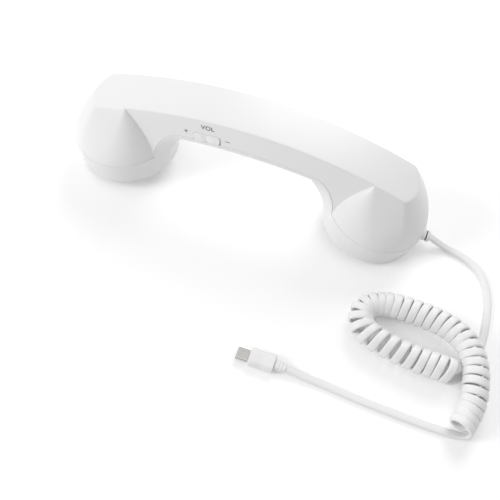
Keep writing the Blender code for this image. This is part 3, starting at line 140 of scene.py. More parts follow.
@dataclass
class EffectGroups:
    """The shader groups that several materials share, each built once."""

    fine_detail: float = 3.0
    fine_roughness: float = 0.6
    pore_scale: float = 0.62
    pore_depth: float = 0.55
    broad_scale: float = 55.0
    broad_detail: float = 5.0
    middle: float = 0.5
    cloud_scale: float = 14.0
    cloud_detail: float = 6.0
    cloud_roughness: float = 0.62
    cloud_low: float = 0.35
    cloud_high: float = 0.75
    line_stretch: tuple[float, float, float] = (1.0, 40.0, 40.0)
    line_detail: float = 4.0

    def __post_init__(self) -> None:
        """Build each group."""
        self.grain = self._grain()
        self.drift = self._drift()
        self.brushed = self._brushed()

    @staticmethod
    def _start(name: str, inputs: Sequence[tuple[str, str, object]],
               outputs: Sequence[tuple[str, str]]) -> tuple[NodeBench, bpy.types.Node, bpy.types.Node]:
        """Make an empty group.

        Args:
            name: The group's name.
            inputs: Name, socket type and default value of each input.
            outputs: Name and socket type of each output.

        Returns:
            A bench with the group, its input node and its output node.
        """
        group = bpy.data.node_groups.new(name, "ShaderNodeTree")
        for label, kind, value in inputs:
            group.interface.new_socket(label, in_out="INPUT", socket_type=kind).default_value = value
        for label, kind in outputs:
            group.interface.new_socket(label, in_out="OUTPUT", socket_type=kind)
        return NodeBench(group), group.nodes.new("NodeGroupInput"), group.nodes.new("NodeGroupOutput")

    def _grain(self) -> bpy.types.NodeTree:
        """Build the fine texture of a moulded or extruded skin.

        Returns:
            A group that gives a height and a roughness from three layers of pattern.
        """
        bench, given, result = self._start(
            "skin_grain",
            [("Scale", "NodeSocketFloat", 900.0), ("Roughness", "NodeSocketFloat", 0.4),
             ("Spread", "NodeSocketFloat", 0.06)],
            [("Height", "NodeSocketFloat"), ("Roughness", "NodeSocketFloat")],
        )
        place = bench.place()
        scale = given.outputs["Scale"]
        fine = bench.add("TexNoise", {"Detail": self.fine_detail, "Roughness": self.fine_roughness,
                                      "Vector": place, "Scale": scale})
        pores = bench.add("TexVoronoi", {"Vector": place, "Scale": bench.math("MULTIPLY", scale, self.pore_scale)},
                          feature="F1")
        height = bench.math("MULTIPLY_ADD", pores.outputs["Distance"], self.pore_depth, fine.outputs["Fac"])
        bench.feed(result, "Height", height)
        broad = bench.add("TexNoise", {"Scale": self.broad_scale, "Detail": self.broad_detail, "Vector": place})
        centred = bench.math("SUBTRACT", broad.outputs["Fac"], self.middle)
        rough = bench.math("MULTIPLY_ADD", centred, given.outputs["Spread"], given.outputs["Roughness"])
        bench.feed(result, "Roughness", rough)
        return bench.tree

    def _drift(self) -> bpy.types.NodeTree:
        """Build a slow change of tone over a surface.

        Returns:
            A group that gives a colour.
        """
        bench, given, result = self._start(
            "tone_drift",
            [("Colour", "NodeSocketColor", (0.8, 0.8, 0.8, 1.0)), ("Shade", "NodeSocketColor", (0.7, 0.7, 0.7, 1.0)),
             ("Scale", "NodeSocketFloat", self.cloud_scale)],
            [("Colour", "NodeSocketColor")],
        )
        cloud = bench.add("TexNoise", {"Detail": self.cloud_detail, "Roughness": self.cloud_roughness,
                                       "Vector": bench.place(), "Scale": given.outputs["Scale"]})
        ramp = bench.add("MapRange", {"From Min": self.cloud_low, "From Max": self.cloud_high,
                                      "Value": cloud.outputs["Fac"]})
        mix = bench.add("Mix", {"Factor": ramp.outputs["Result"], "A": given.outputs["Colour"],
                                "B": given.outputs["Shade"]}, data_type="RGBA")
        bench.feed(result, "Colour", mix.outputs["Result"])
        return bench.tree

    def _brushed(self) -> bpy.types.NodeTree:
        """Build fine lines along X, as drawn or plated sheet has.

        Returns:
            A group that gives a height and a roughness.
        """
        bench, given, result = self._start(
            "drawn_lines",
            [("Scale", "NodeSocketFloat", 60.0), ("Roughness", "NodeSocketFloat", 0.3),
             ("Spread", "NodeSocketFloat", 0.15)],
            [("Height", "NodeSocketFloat"), ("Roughness", "NodeSocketFloat")],
        )
        stretch = bench.add("Mapping", {"Scale": self.line_stretch, "Vector": bench.place()})
        lines = bench.add("TexNoise", {"Detail": self.line_detail, "Vector": stretch.outputs["Vector"],
                                       "Scale": given.outputs["Scale"]})
        bench.feed(result, "Height", lines.outputs["Fac"])
        rough = bench.math("MULTIPLY_ADD", lines.outputs["Fac"], given.outputs["Spread"], given.outputs["Roughness"])
        bench.feed(result, "Roughness", rough)
        return bench.tree


@dataclass(frozen=True)
class Finish:
    """One finish of the handset."""

    name: str
    colour: tuple[float, float, float]
    shade: tuple[float, float, float]
    roughness: float
    surface: Surface = Surface.MOULDED
    metallic: float = 0.0
    specular: float = 0.5
    grain_scale: float = 900.0
    grain_depth: float = 0.00001
    spread: float = 0.06
    sheen: float = 0.0

    def material(self, groups: EffectGroups) -> bpy.types.Material:
        """Return the finish's material, built on first use.

        Args:
            groups: The shared shader groups.

        Returns:
            The material.
        """
        if self.name in bpy.data.materials:
            return bpy.data.materials[self.name]
        material = bpy.data.materials.new(self.name)
        material.use_nodes = True
        bench = NodeBench(material.node_tree)
        tone = bench.add("Group", {}, node_tree=groups.drift)
        bench.feed(tone, "Colour", (*self.colour, 1.0))
        bench.feed(tone, "Shade", (*self.shade, 1.0))
        skin = bench.add("Group", {}, node_tree=groups.brushed if self.surface is Surface.BRUSHED else groups.grain)
        for label, value in (("Roughness", self.roughness), ("Spread", self.spread), ("Scale", self.grain_scale)):
            bench.feed(skin, label, value)
        bump = bench.add("Bump", {"Strength": self.surface.bump, "Distance": self.grain_depth,
                                  "Height": skin.outputs["Height"]})
        shader = material.node_tree.nodes["Principled BSDF"]
        for label, value in (("Metallic", self.metallic), ("Specular IOR Level", self.specular),
                             ("Sheen Weight", self.sheen), ("Base Color", tone.outputs["Colour"]),
                             ("Roughness", skin.outputs["Roughness"]), ("Normal", bump.outputs["Normal"])):
            bench.feed(shader, label, value)
        return material


@dataclass(frozen=True)
class Palette:
    """Every finish that the handset uses."""

    shell: Finish = Finish("shell_white", (0.86, 0.86, 0.858), (0.845, 0.845, 0.842), 0.36, grain_scale=1500.0,
                           grain_depth=0.000012)
    key: Finish = Finish("key_white", (0.9, 0.9, 0.898), (0.88, 0.88, 0.877), 0.32, grain_scale=2000.0)
    cap: Finish = Finish("cap_white", (0.84, 0.84, 0.838), (0.82, 0.82, 0.815), 0.42, grain_scale=1300.0,
                         grain_depth=0.00002)
    jacket: Finish = Finish("jacket_white", (0.88, 0.88, 0.878), (0.86, 0.86, 0.856), 0.44, Surface.SOFT,
                            grain_scale=1200.0, grain_depth=0.00001)
    gland: Finish = Finish("gland_white", (0.85, 0.85, 0.848), (0.83, 0.83, 0.826), 0.5, Surface.SOFT,
                           grain_scale=1100.0, grain_depth=0.000012)
    # Painted shade: a near-black finish for the gland's groove faces, standing in for the shadow inside the groove.
    groove_painted_shade: Finish = Finish("groove_painted_shade_finish", (0.06, 0.06, 0.06), (0.09, 0.09, 0.09), 0.7, Surface.SOFT,
                          grain_scale=1100.0)
    boot: Finish = Finish("boot_grey", (0.5, 0.5, 0.5), (0.44, 0.44, 0.44), 0.65, Surface.SOFT, grain_scale=1100.0,
                          grain_depth=0.00002)
    print_ink: Finish = Finish("legend_ink", (0.1, 0.1, 0.1), (0.14, 0.14, 0.14), 0.55, Surface.SOFT)
    black: Finish = Finish("black_plastic", (0.025, 0.025, 0.025), (0.04, 0.04, 0.04), 0.45)
    foam: Finish = Finish("foam_black", (0.05, 0.05, 0.05), (0.09, 0.09, 0.09), 0.95, Surface.SOFT,
                          grain_scale=700.0, grain_depth=0.0002, sheen=0.2)
    cone: Finish = Finish("cone_paper", (0.11, 0.1, 0.09), (0.16, 0.15, 0.13), 0.85, Surface.SOFT,
                          grain_scale=500.0, grain_depth=0.00008)
    board: Finish = Finish("board_mask", (0.02, 0.17, 0.06), (0.015, 0.11, 0.04), 0.35, grain_scale=400.0)
    steel: Finish = Finish("plain_steel", (0.56, 0.56, 0.57), (0.48, 0.48, 0.5), 0.28, Surface.BRUSHED, 1.0,
                           grain_scale=50.0, grain_depth=0.00001, spread=0.12)
    nickel: Finish = Finish("plated_nickel", (0.74, 0.73, 0.71), (0.7, 0.69, 0.67), 0.16, Surface.BRUSHED, 1.0,
                            grain_scale=50.0, grain_depth=0.000004, spread=0.08)
    red: Finish = Finish("lead_red", (0.55, 0.02, 0.02), (0.45, 0.02, 0.02), 0.4)
    dark: Finish = Finish("lead_black", (0.02, 0.02, 0.02), (0.035, 0.035, 0.035), 0.4)


class Workshop:
    """Makes mesh objects and dresses them."""

    def __init__(self, groups: EffectGroups) -> None:
        """Keep the shared shader groups."""
        self.groups = groups

    def from_bmesh(self, name: str, shape: bmesh.types.BMesh) -> bpy.types.Object:
        """Turn a bmesh into an object of the scene.

        Args:
            name: The object's name.
            shape: The bmesh, freed here.

        Returns:
            The new object, shaded smooth except at its sharp edges.
        """
        mesh = bpy.data.meshes.new(name)
        shape.to_mesh(mesh)
        shape.free()
        mesh.shade_smooth()
        mesh.set_sharp_from_angle(angle=SMOOTH_ANGLE)
        item = bpy.data.objects.new(name, mesh)
        bpy.context.scene.collection.objects.link(item)
        return item

    def rods(self, name: str, radius: float, bottom: float, top: float, frames: Iterable[Matrix],
             steps: int) -> bpy.types.Object:
        """Make equal cylinders as one object.

        Args:
            name: The object's name.
            radius: Their radius.
            bottom: Where each starts along its frame's Z.
            top: Where it ends.
            frames: A frame for each.
            steps: How many sides each has.

        Returns:
            The object.
        """
        shape = bmesh.new()
        for place in frames:
            bmesh.ops.create_cone(
                shape, cap_ends=True, segments=steps, radius1=radius, radius2=radius, depth=top - bottom,
                matrix=place @ Matrix.Translation((0, 0, (top + bottom) / 2)),
            )
        return self.from_bmesh(name, shape)

    def box(self, name: str, size: Sequence[float], place: Matrix) -> bpy.types.Object:
        """Make a box about the middle of a frame.

        Args:
            name: The object's name.
            size: Its size along each axis of the frame.
            place: The frame.

        Returns:
            The box.
        """
        shape = bmesh.new()
        bmesh.ops.create_cube(shape, size=1, matrix=place @ Matrix.Diagonal((*size, 1)))
        return self.from_bmesh(name, shape)

    def loft(self, name: str, sections: Sequence[Sequence[Vector]]) -> bpy.types.Object:
        """Join equal rings of points into one closed skin.

        Args:
            name: The object's name.
            sections: Rings of points, each with the same count.

        Returns:
            The object, closed by a face at each end.
        """
        shape = bmesh.new()
        rings = [[shape.verts.new(point) for point in section] for section in sections]
        count = len(rings[0])
        for near, far in zip(rings, rings[1:]):
            for i in range(count):
                shape.faces.new((near[i], near[(i + 1) % count], far[(i + 1) % count], far[i]))
        shape.faces.new(rings[0][::-1])
        shape.faces.new(rings[-1])
        bmesh.ops.recalc_face_normals(shape, faces=shape.faces)
        return self.from_bmesh(name, shape)

    def turned(self, name: str, profile: Sequence[tuple[float, float]], place: Matrix,
               steps: int = 96) -> bpy.types.Object:
        """Turn a profile of radius and height pairs about a frame's Z.

        Args:
            name: The object's name.
            profile: Pairs that start and end on the axis.
            place: The frame.
            steps: How many steps go round.

        Returns:
            The turned object.
        """
        shape = bmesh.new()
        turns = [Matrix.Rotation(2 * math.pi * i / steps, 4, "Z") for i in range(steps)]
        rows = [[shape.verts.new(place @ turn @ Vector((radius, 0, height))) for turn in turns]
                for radius, height in profile[1:-1]]
        for upper, lower in zip(rows, rows[1:]):
            for i in range(steps):
                shape.faces.new((upper[i], upper[(i + 1) % steps], lower[(i + 1) % steps], lower[i]))
        for row, end in ((rows[0], profile[0]), (rows[-1], profile[-1])):
            tip = shape.verts.new(place @ Vector((0, 0, end[1])))
            for i in range(steps):
                shape.faces.new((row[i], row[(i + 1) % steps], tip))
        bmesh.ops.recalc_face_normals(shape, faces=shape.faces)
        return self.from_bmesh(name, shape)

    def cut(self, item: bpy.types.Object, tool: bpy.types.Object, kind: str = "DIFFERENCE") -> None:
        """Take a tool's volume away from an object, or join it, and remove the tool.

        Args:
            item: The object.
            tool: The tool.
            kind: What the tool does to it.
        """
        step = item.modifiers.new(tool.name, "BOOLEAN")
        step.operation = kind
        step.object = tool
        step.solver = "EXACT"
        self.settle(item)
        mesh = tool.data
        bpy.data.objects.remove(tool, do_unlink=True)
        bpy.data.meshes.remove(mesh)

    @staticmethod
    def settle(item: bpy.types.Object) -> None:
        """Turn an object's modifiers into its own mesh.

        Args:
            item: The object.
        """
        bpy.context.view_layer.update()
        graph = bpy.context.evaluated_depsgraph_get()
        mesh = bpy.data.meshes.new_from_object(item.evaluated_get(graph))
        item.modifiers.clear()
        old = item.data
        item.data = mesh
        bpy.data.meshes.remove(old)

    @staticmethod
    def resmooth(item: bpy.types.Object) -> None:
        """Shade an object smooth again after its cuts, except at its sharp edges."""
        item.data.shade_smooth()
        item.data.set_sharp_from_angle(angle=SMOOTH_ANGLE)

    def dress(self, item: bpy.types.Object, finish: Finish, slot: str, body: str) -> None:
        """Give a piece its finish and its body.

        Args:
            item: The piece.
            finish: Its finish.
            slot: Not used.
            body: The CAD body that it rides on.
        """
        item.data.materials.clear()
        item.data.materials.append(finish.material(self.groups))
        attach(item, body)
        LOG.info("piece %s rides on %s in %s", item.name, body, finish.name)


# The housing's form


@dataclass(frozen=True)
class Detail:
    """How finely a housing surface is divided."""

    fan: int = 22
    edge: int = 8
    end: int = 14
    pod: int = 20
    arch: int = 18
    handle: int = 18
    cross: int = 8
    ring: int = 8
    soft: int = 4


@dataclass(frozen=True)
class HousingForm:
    """The lines and surfaces of the housing, the same as the solids have, for the quarter with X and near side."""

    back_height: float = 64.4 * MM
    back_radius: float = 245 * MM
    band_half: float = 13.3 * MM
    band_crown: float = 0.4 * MM
    end_reach: float = 94.8 * MM
    end_sagitta: float = 5.4 * MM
    apex_x: float = 71.3 * MM
    side_draft: float = math.radians(7.0)
    cup_x: float = 77.1 * MM
    cup_radius: float = 29.9 * MM
    cup_tilt: float = math.radians(9.5)
    rim_radius: float = 28.8 * MM
    rim_round: float = 0.8 * MM
    ring_height: float = 15.5 * MM
    rest_flat: float = 0.2 * MM
    pod_bulge: float = 2.5 * MM
    fold_angle: float = math.radians(50)
    fan_angle: float = math.radians(80)
    seam_height: float = 49.9 * MM
    seam_radius: float = 282 * MM
    arch_start: float = 38 * MM
    lip_height: float = 2.2 * MM
    flare_hollow: float = 2.5 * MM
    flare_share: float = 0.5
    wall: float = 2.2 * MM
    ledge_radius: float = 24.4 * MM
    cap_radius: float = 26.6 * MM
    cap_recess: float = 0.6 * MM
    cap_edge: float = 2.8 * MM
    band_round: float = 0.7 * MM
    detail: Detail = field(default_factory=Detail)

    @property
    def tilt_x(self) -> Vector:
        """The direction out from the cup along the handset, in the cup's plane."""
        return Vector((math.cos(self.cup_tilt), 0, -math.sin(self.cup_tilt)))

    @property
    def tilt_z(self) -> Vector:
        """The cup's axis, into the handset."""
        return Vector((math.sin(self.cup_tilt), 0, math.cos(self.cup_tilt)))

    @property
    def rim_centre(self) -> Vector:
        """Find the middle of the rim's plane.

        Returns:
            The point.
        """
        low = (self.rim_radius - self.rim_round) * math.sin(self.cup_tilt) - self.rest_flat
        top = Vector((self.cup_x, 0, low + self.ring_height * math.cos(self.cup_tilt)))
        return top - self.tilt_z * self.ring_height

    @property
    def cup_centre(self) -> Vector:
        """The middle of the parting circle."""
        return self.rim_centre + self.tilt_z * self.ring_height

    def back_z(self, x: float, inset: float) -> float:
        """Return the height of the band's edge."""
        return self.back_height - inset - self.back_radius + math.sqrt(self.back_radius ** 2 - x ** 2)

    def band_point(self, x: float, y: float, inset: float) -> Vector:
        """Return a point on the crowned band."""
        crown = self.band_crown * (1 - (y / (self.band_half - inset)) ** 2)
        return Vector((x, y, self.back_z(x, inset) + crown))

    def end_x(self, y: float, inset: float) -> float:
        """Return where the band ends, along its curved end."""
        radius = (self.band_half ** 2 + self.end_sagitta ** 2) / (2 * self.end_sagitta)
        return self.end_reach - inset - radius + math.sqrt(radius ** 2 - y ** 2)

    def side_half(self, x: float, z: float, inset: float = 0.0) -> float:
        """Return half the handle's width at a height."""
        return self.band_half - inset + math.tan(self.side_draft) * (self.back_z(x, inset) - z)

    def radial(self, angle: float) -> Vector:
        """Return the direction out from the cup's axis."""
        return self.tilt_x * math.cos(angle) + Vector((0, -1, 0)) * math.sin(angle)

    def cup_point(self, radius: float, angle: float, height: float = 0.0) -> Vector:
        """Return a point about the cup's axis, at a height over the parting plane."""
        return self.cup_centre + self.tilt_z * height + self.radial(angle) * radius

    @staticmethod
    def solve(function: Callable[[float], float], low: float, high: float) -> float:
        """Find where a falling function crosses zero.

        Args:
            function: The function.
            low: A place where it is over zero.
            high: A place where it is under zero.

        Returns:
            The place.
        """
        for _ in range(SOLVE_STEPS):
            middle = (low + high) / 2
            if function(middle) > 0:
                low = middle
            else:
                high = middle
        return (low + high) / 2

    def over_side(self, point: Vector, inset: float) -> float:
        """Return how far a point stands out of the handle's side."""
        return -point.y - self.side_half(point.x, point.z, inset)

    def meeting_angle(self, inset: float = 0.0) -> float:
        """Find the angle at which the handle's side meets the cup's circle.

        Args:
            inset: How far both surfaces are drawn in.

        Returns:
            The angle.
        """
        radius = self.cup_radius - inset
        return self.solve(
            lambda angle: self.over_side(self.cup_point(radius, angle), inset), math.pi / 2, PAST_BACK
        )

    def arch_end(self) -> float:
        """Return the X at which the arch reaches the cup."""
        return self.cup_point(self.cup_radius, self.meeting_angle()).x

    def parting_z(self, x: float) -> float:
        """Return the height of the cup's parting plane."""
        return self.cup_centre.z - (x - self.cup_centre.x) * math.tan(self.cup_tilt)

    def seam_z(self, x: float) -> float:
        """Find the height of the parting line along the handle, down the arch and across the cup.

        Args:
            x: The place along the handset.

        Returns:
            The height.
        """
        end = self.arch_end()
        if x > end:
            return self.parting_z(x)
        level = self.seam_height - x ** 2 / (2 * self.seam_radius)
        if x <= self.arch_start:
            return level
        drop = self.seam_height - end ** 2 / (2 * self.seam_radius) - self.parting_z(end)
        share = (x - self.arch_start) / (end - self.arch_start)
        return level - drop * (1 - math.sqrt(max(0, 1 - share ** 2)))

    def seam_point(self, x: float, inset: float) -> Vector:
        """Return a point of the parting line on the near side."""
        z = self.seam_z(x)
        return Vector((x, -self.side_half(x, z, inset), z))

    def seam_normal(self, x: float) -> Vector:
        """Find the direction square to the parting line, away from the back shell.

        Args:
            x: The place along the handset.

        Returns:
            The direction.
        """
        step = 0.02 * MM
        before = max(0, x - step)
        after = min(self.arch_end(), x + step)
        run = Vector((after - before, 0, self.seam_z(after) - self.seam_z(before))).normalized()
        return Vector((run.z, 0, -run.x))

    def pod_point(self, top: Vector, angle: float, share: float, inset: float) -> Vector:
        """Return a point on the swelling side of a cup."""
        bottom = self.cup_point(self.cup_radius - inset, angle)
        return top.lerp(bottom, share) + self.radial(angle) * (self.pod_bulge * 4 * share * (1 - share))

    def stations(self, inset: float = 0.0) -> list[float]:
        """Find the X places along the handle, closer together round the arch.

        Args:
            inset: How far the body is drawn in.

        Returns:
            The places, from the middle to the cup.
        """
        end = self.cup_point(self.cup_radius - inset, self.meeting_angle(inset)).x
        count = self.detail.handle
        level = [self.arch_start * step / count for step in range(count)]
        arch = self.detail.arch
        return level + [
            self.arch_start + (end - self.arch_start) * math.sin(math.pi / 2 * step / arch) for step in range(arch + 1)
        ]

    def cup_place(self, cup: Cup) -> Matrix:
        """Return a cup's own frame on its rim plane."""
        centre = Vector((self.rim_centre.x * cup.value, 0, self.rim_centre.z))
        return Matrix.Translation(centre) @ Matrix.Rotation(self.cup_tilt * cup.value, 4, "Y")

    def side_place(self, x: float, z: float) -> Matrix:
        """Find a frame on the near side: X along the handle, Y into it and Z up its face.

        Args:
            x: The place along the handle.
            z: The height.

        Returns:
            The frame.
        """
        slope = math.asin(x / self.back_radius)
        turn = Matrix.Rotation(slope, 4, "Y") @ Matrix.Rotation(-self.side_draft, 4, "X")
        return Matrix.Translation((x, -self.side_half(x, z), z)) @ turn


class QuarterSkin:
    """Collects the surfaces of one quarter and mirrors them into a whole body."""

    def __init__(self, shop: Workshop) -> None:
        """Start with an empty bmesh."""
        self.shop = shop
        self.shape = bmesh.new()

    def grid(self, rows: Sequence[Sequence[Vector]]) -> None:
        """Add quads between rows of points.

        Args:
            rows: The rows, each with the same count of points.
        """
        made = [[self.shape.verts.new(point) for point in row] for row in rows]
        for upper, lower in zip(made, made[1:]):
            for i in range(len(upper) - 1):
                self.shape.faces.new((upper[i], upper[i + 1], lower[i + 1], lower[i]))

    def ladder(self, points: Sequence[Vector]) -> None:
        """Add quads from a line of points across to the middle plane."""
        self.grid([points, [Vector((point.x, 0, point.z)) for point in points]])

    def face(self, points: Sequence[Vector]) -> None:
        """Add one face."""
        self.shape.faces.new([self.shape.verts.new(point) for point in points])

    def finish(self, name: str, inner: Vector, axes: str) -> bpy.types.Object:
        """Weld, face outwards and mirror the quarter.

        Args:
            name: The object's name.
            inner: A point inside the quarter, which tells outwards.
            axes: The axes to mirror over, in order.

        Returns:
            The whole body.
        """
        shape = self.shape
        bmesh.ops.remove_doubles(shape, verts=shape.verts, dist=MERGE)
        bmesh.ops.dissolve_degenerate(shape, edges=shape.edges, dist=MERGE)
        bmesh.ops.recalc_face_normals(shape, faces=shape.faces)
        volume = sum(
            (item.calc_center_median() - inner).dot(item.normal) * item.calc_area() for item in shape.faces
        )
        if volume < 0:
            bmesh.ops.reverse_faces(shape, faces=shape.faces)
        item = self.shop.from_bmesh(name, shape)
        for axis in axes:
            step = item.modifiers.new("mirror_" + axis, "MIRROR")
            step.use_axis = (axis == "x", axis == "y", False)
            step.use_mirror_merge = True
            step.merge_threshold = MERGE
        self.shop.settle(item)
        return item


@dataclass
class BackShell:
    """The back shell: the square band, the handle's sides and the swelling backs of the cups."""

    form: HousingForm
    shop: Workshop
    edge_share: float = 0.8
    side_share: float = 0.4
    hollow_drop: float = 10 * MM

    def _pod(self, inset: float, soft: float) -> tuple[list[list[Vector]], list[list[Vector]]]:
        """Find the pod's columns of points, from the crease beside the handle round to its outer end.

        Args:
            inset: How far the body is drawn in.
            soft: The rounding along the band's edge.

        Returns:
            The columns below the rounding, and the rounding's own points over each.
        """
        form = self.form
        detail = form.detail
        half = form.band_half - inset
        apex = form.band_point(form.apex_x + inset, -half, inset)
        shares = [row / detail.pod for row in range(detail.pod + 1)]
        creases = []
        for share in shares:
            read = max(share, shares[1] / 4)
            creases.append(form.solve(
                lambda angle, s=read: form.over_side(form.pod_point(apex, angle, s, inset), inset),
                math.pi / 2, PAST_BACK,
            ))
        columns = []
        tops = []
        for step in range(detail.fan + 1):
            fan = [crease + (form.fan_angle - crease) * step / detail.fan for crease in creases]
            columns.append([form.pod_point(apex, angle, share, inset) for angle, share in zip(fan, shares)])
            tops.append((apex, apex if step == 0 else form.band_point(apex.x, -(half - soft), inset)))
        corner_x = form.end_x(-half, inset)
        for step in range(1, detail.edge + 1):
            part = step / detail.edge
            angle = form.fan_angle + (form.fold_angle - form.fan_angle) * part
            top = form.band_point(apex.x + (corner_x - apex.x) * part, -half, inset)
            columns.append([form.pod_point(top, angle, share, inset) for share in shares])
            tops.append((top, form.band_point(apex.x + (corner_x - soft - apex.x) * part, -(half - soft), inset)))
        for step in range(1, detail.end + 1):
            part = step / detail.end
            y = -half * (1 - part)
            top = form.band_point(form.end_x(y, inset), y, inset)
            columns.append([form.pod_point(top, form.fold_angle * (1 - part), share, inset) for share in shares])
            tops.append((top, form.band_point(top.x - soft, y * (half - soft) / half, inset)))
        rounded = [self._rounding(inner, corner, column[1], soft if inner != corner else 0)
                   for (corner, inner), column in zip(tops, columns)]
        return columns, rounded

    def _rounding(self, inner: Vector, corner: Vector, below: Vector, soft: float) -> list[Vector]:
        """Round a corner between the band and the surface below it.

        Args:
            inner: Where the rounding starts on the band.
            corner: The sharp corner.
            below: The next point of the surface below it.
            soft: The size of the rounding.

        Returns:
            The points of the rounding.
        """
        outer = corner + (below - corner).normalized() * min(soft, (below - corner).length * self.edge_share)
        points = []
        for step in range(self.form.detail.soft + 1):
            t = step / self.form.detail.soft
            points.append(inner * (1 - t) ** 2 + corner * (2 * t * (1 - t)) + outer * t ** 2)
        return points

    def body(self, name: str, inset: float, drop: float, soft: float) -> bpy.types.Object:
        """Make the back half as one solid.

        Args:
            name: The object's name.
            inset: How far it is drawn in.
            drop: How far it is carried down below the parting line.
            soft: The rounding along the band's edge.

        Returns:
            The solid.
        """
        form = self.form
        detail = form.detail
        half = form.band_half - inset
        columns, rounded = self._pod(inset, soft)
        crease = columns[0]
        seam = [form.seam_point(x, inset) for x in form.stations(inset)]
        skin = QuarterSkin(self.shop)
        sides = []
        band = []
        shares = [step / detail.end for step in range(detail.end + 1)]
        for lower in seam[:-1] + crease[:0:-1]:
            corner = form.band_point(lower.x, -half, inset)
            width = min(soft, (corner - lower).length * self.side_share)
            inner = form.band_point(lower.x, -(half - width), inset)
            sides.append([*self._rounding(inner, corner, lower, width), lower])
            band.append([form.band_point(lower.x, -(half - width) * (1 - share), inset) for share in shares])
        apex = crease[0]
        sides.append([apex] * (detail.soft + 2))
        skin.grid(sides)
        skin.face([band[-1][0], apex, rounded[1][0]])
        band.append([form.band_point(apex.x, -(half - soft) * (1 - share), inset) for share in shares])
        for step in range(1, detail.edge + 1):
            part = step / detail.edge
            row = []
            for share in shares:
                y = -(half - soft) * (1 - share)
                reach = form.end_x(y * half / (half - soft), inset) - soft
                row.append(form.band_point(apex.x + (reach - apex.x) * part, y, inset))
            band.append(row)
        skin.grid(band)
        skin.grid([arc + column[1:] for arc, column in zip(rounded, columns)])
        loop = seam[:-1] + [column[-1] for column in columns]
        lowered = [point - Vector((0, 0, drop)) for point in loop]
        if drop:
            skin.grid([loop, lowered])
        skin.ladder(lowered)
        return skin.finish(name, Vector((0, 0, form.seam_height)), "xy")

    def build(self, key: "VolumeKey") -> bpy.types.Object:
        """Make, hollow and dress the shell, with the key's notch in its near side.

        Args:
            key: The volume key, which says where its notch is.

        Returns:
            The shell.
        """
        shell = self.body("back_shell_skin", 0.0, 0.0, self.form.band_round)
        self.shop.cut(shell, self.body("back_hollow", self.form.wall, self.hollow_drop, 0.0))
        for tool in key.notch_tools():
            self.shop.cut(shell, tool)
        self.shop.resmooth(shell)
        self.shop.dress(shell, PALETTE.shell, "shell_plastic", "handset")
        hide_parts("back_shell")
        return shell


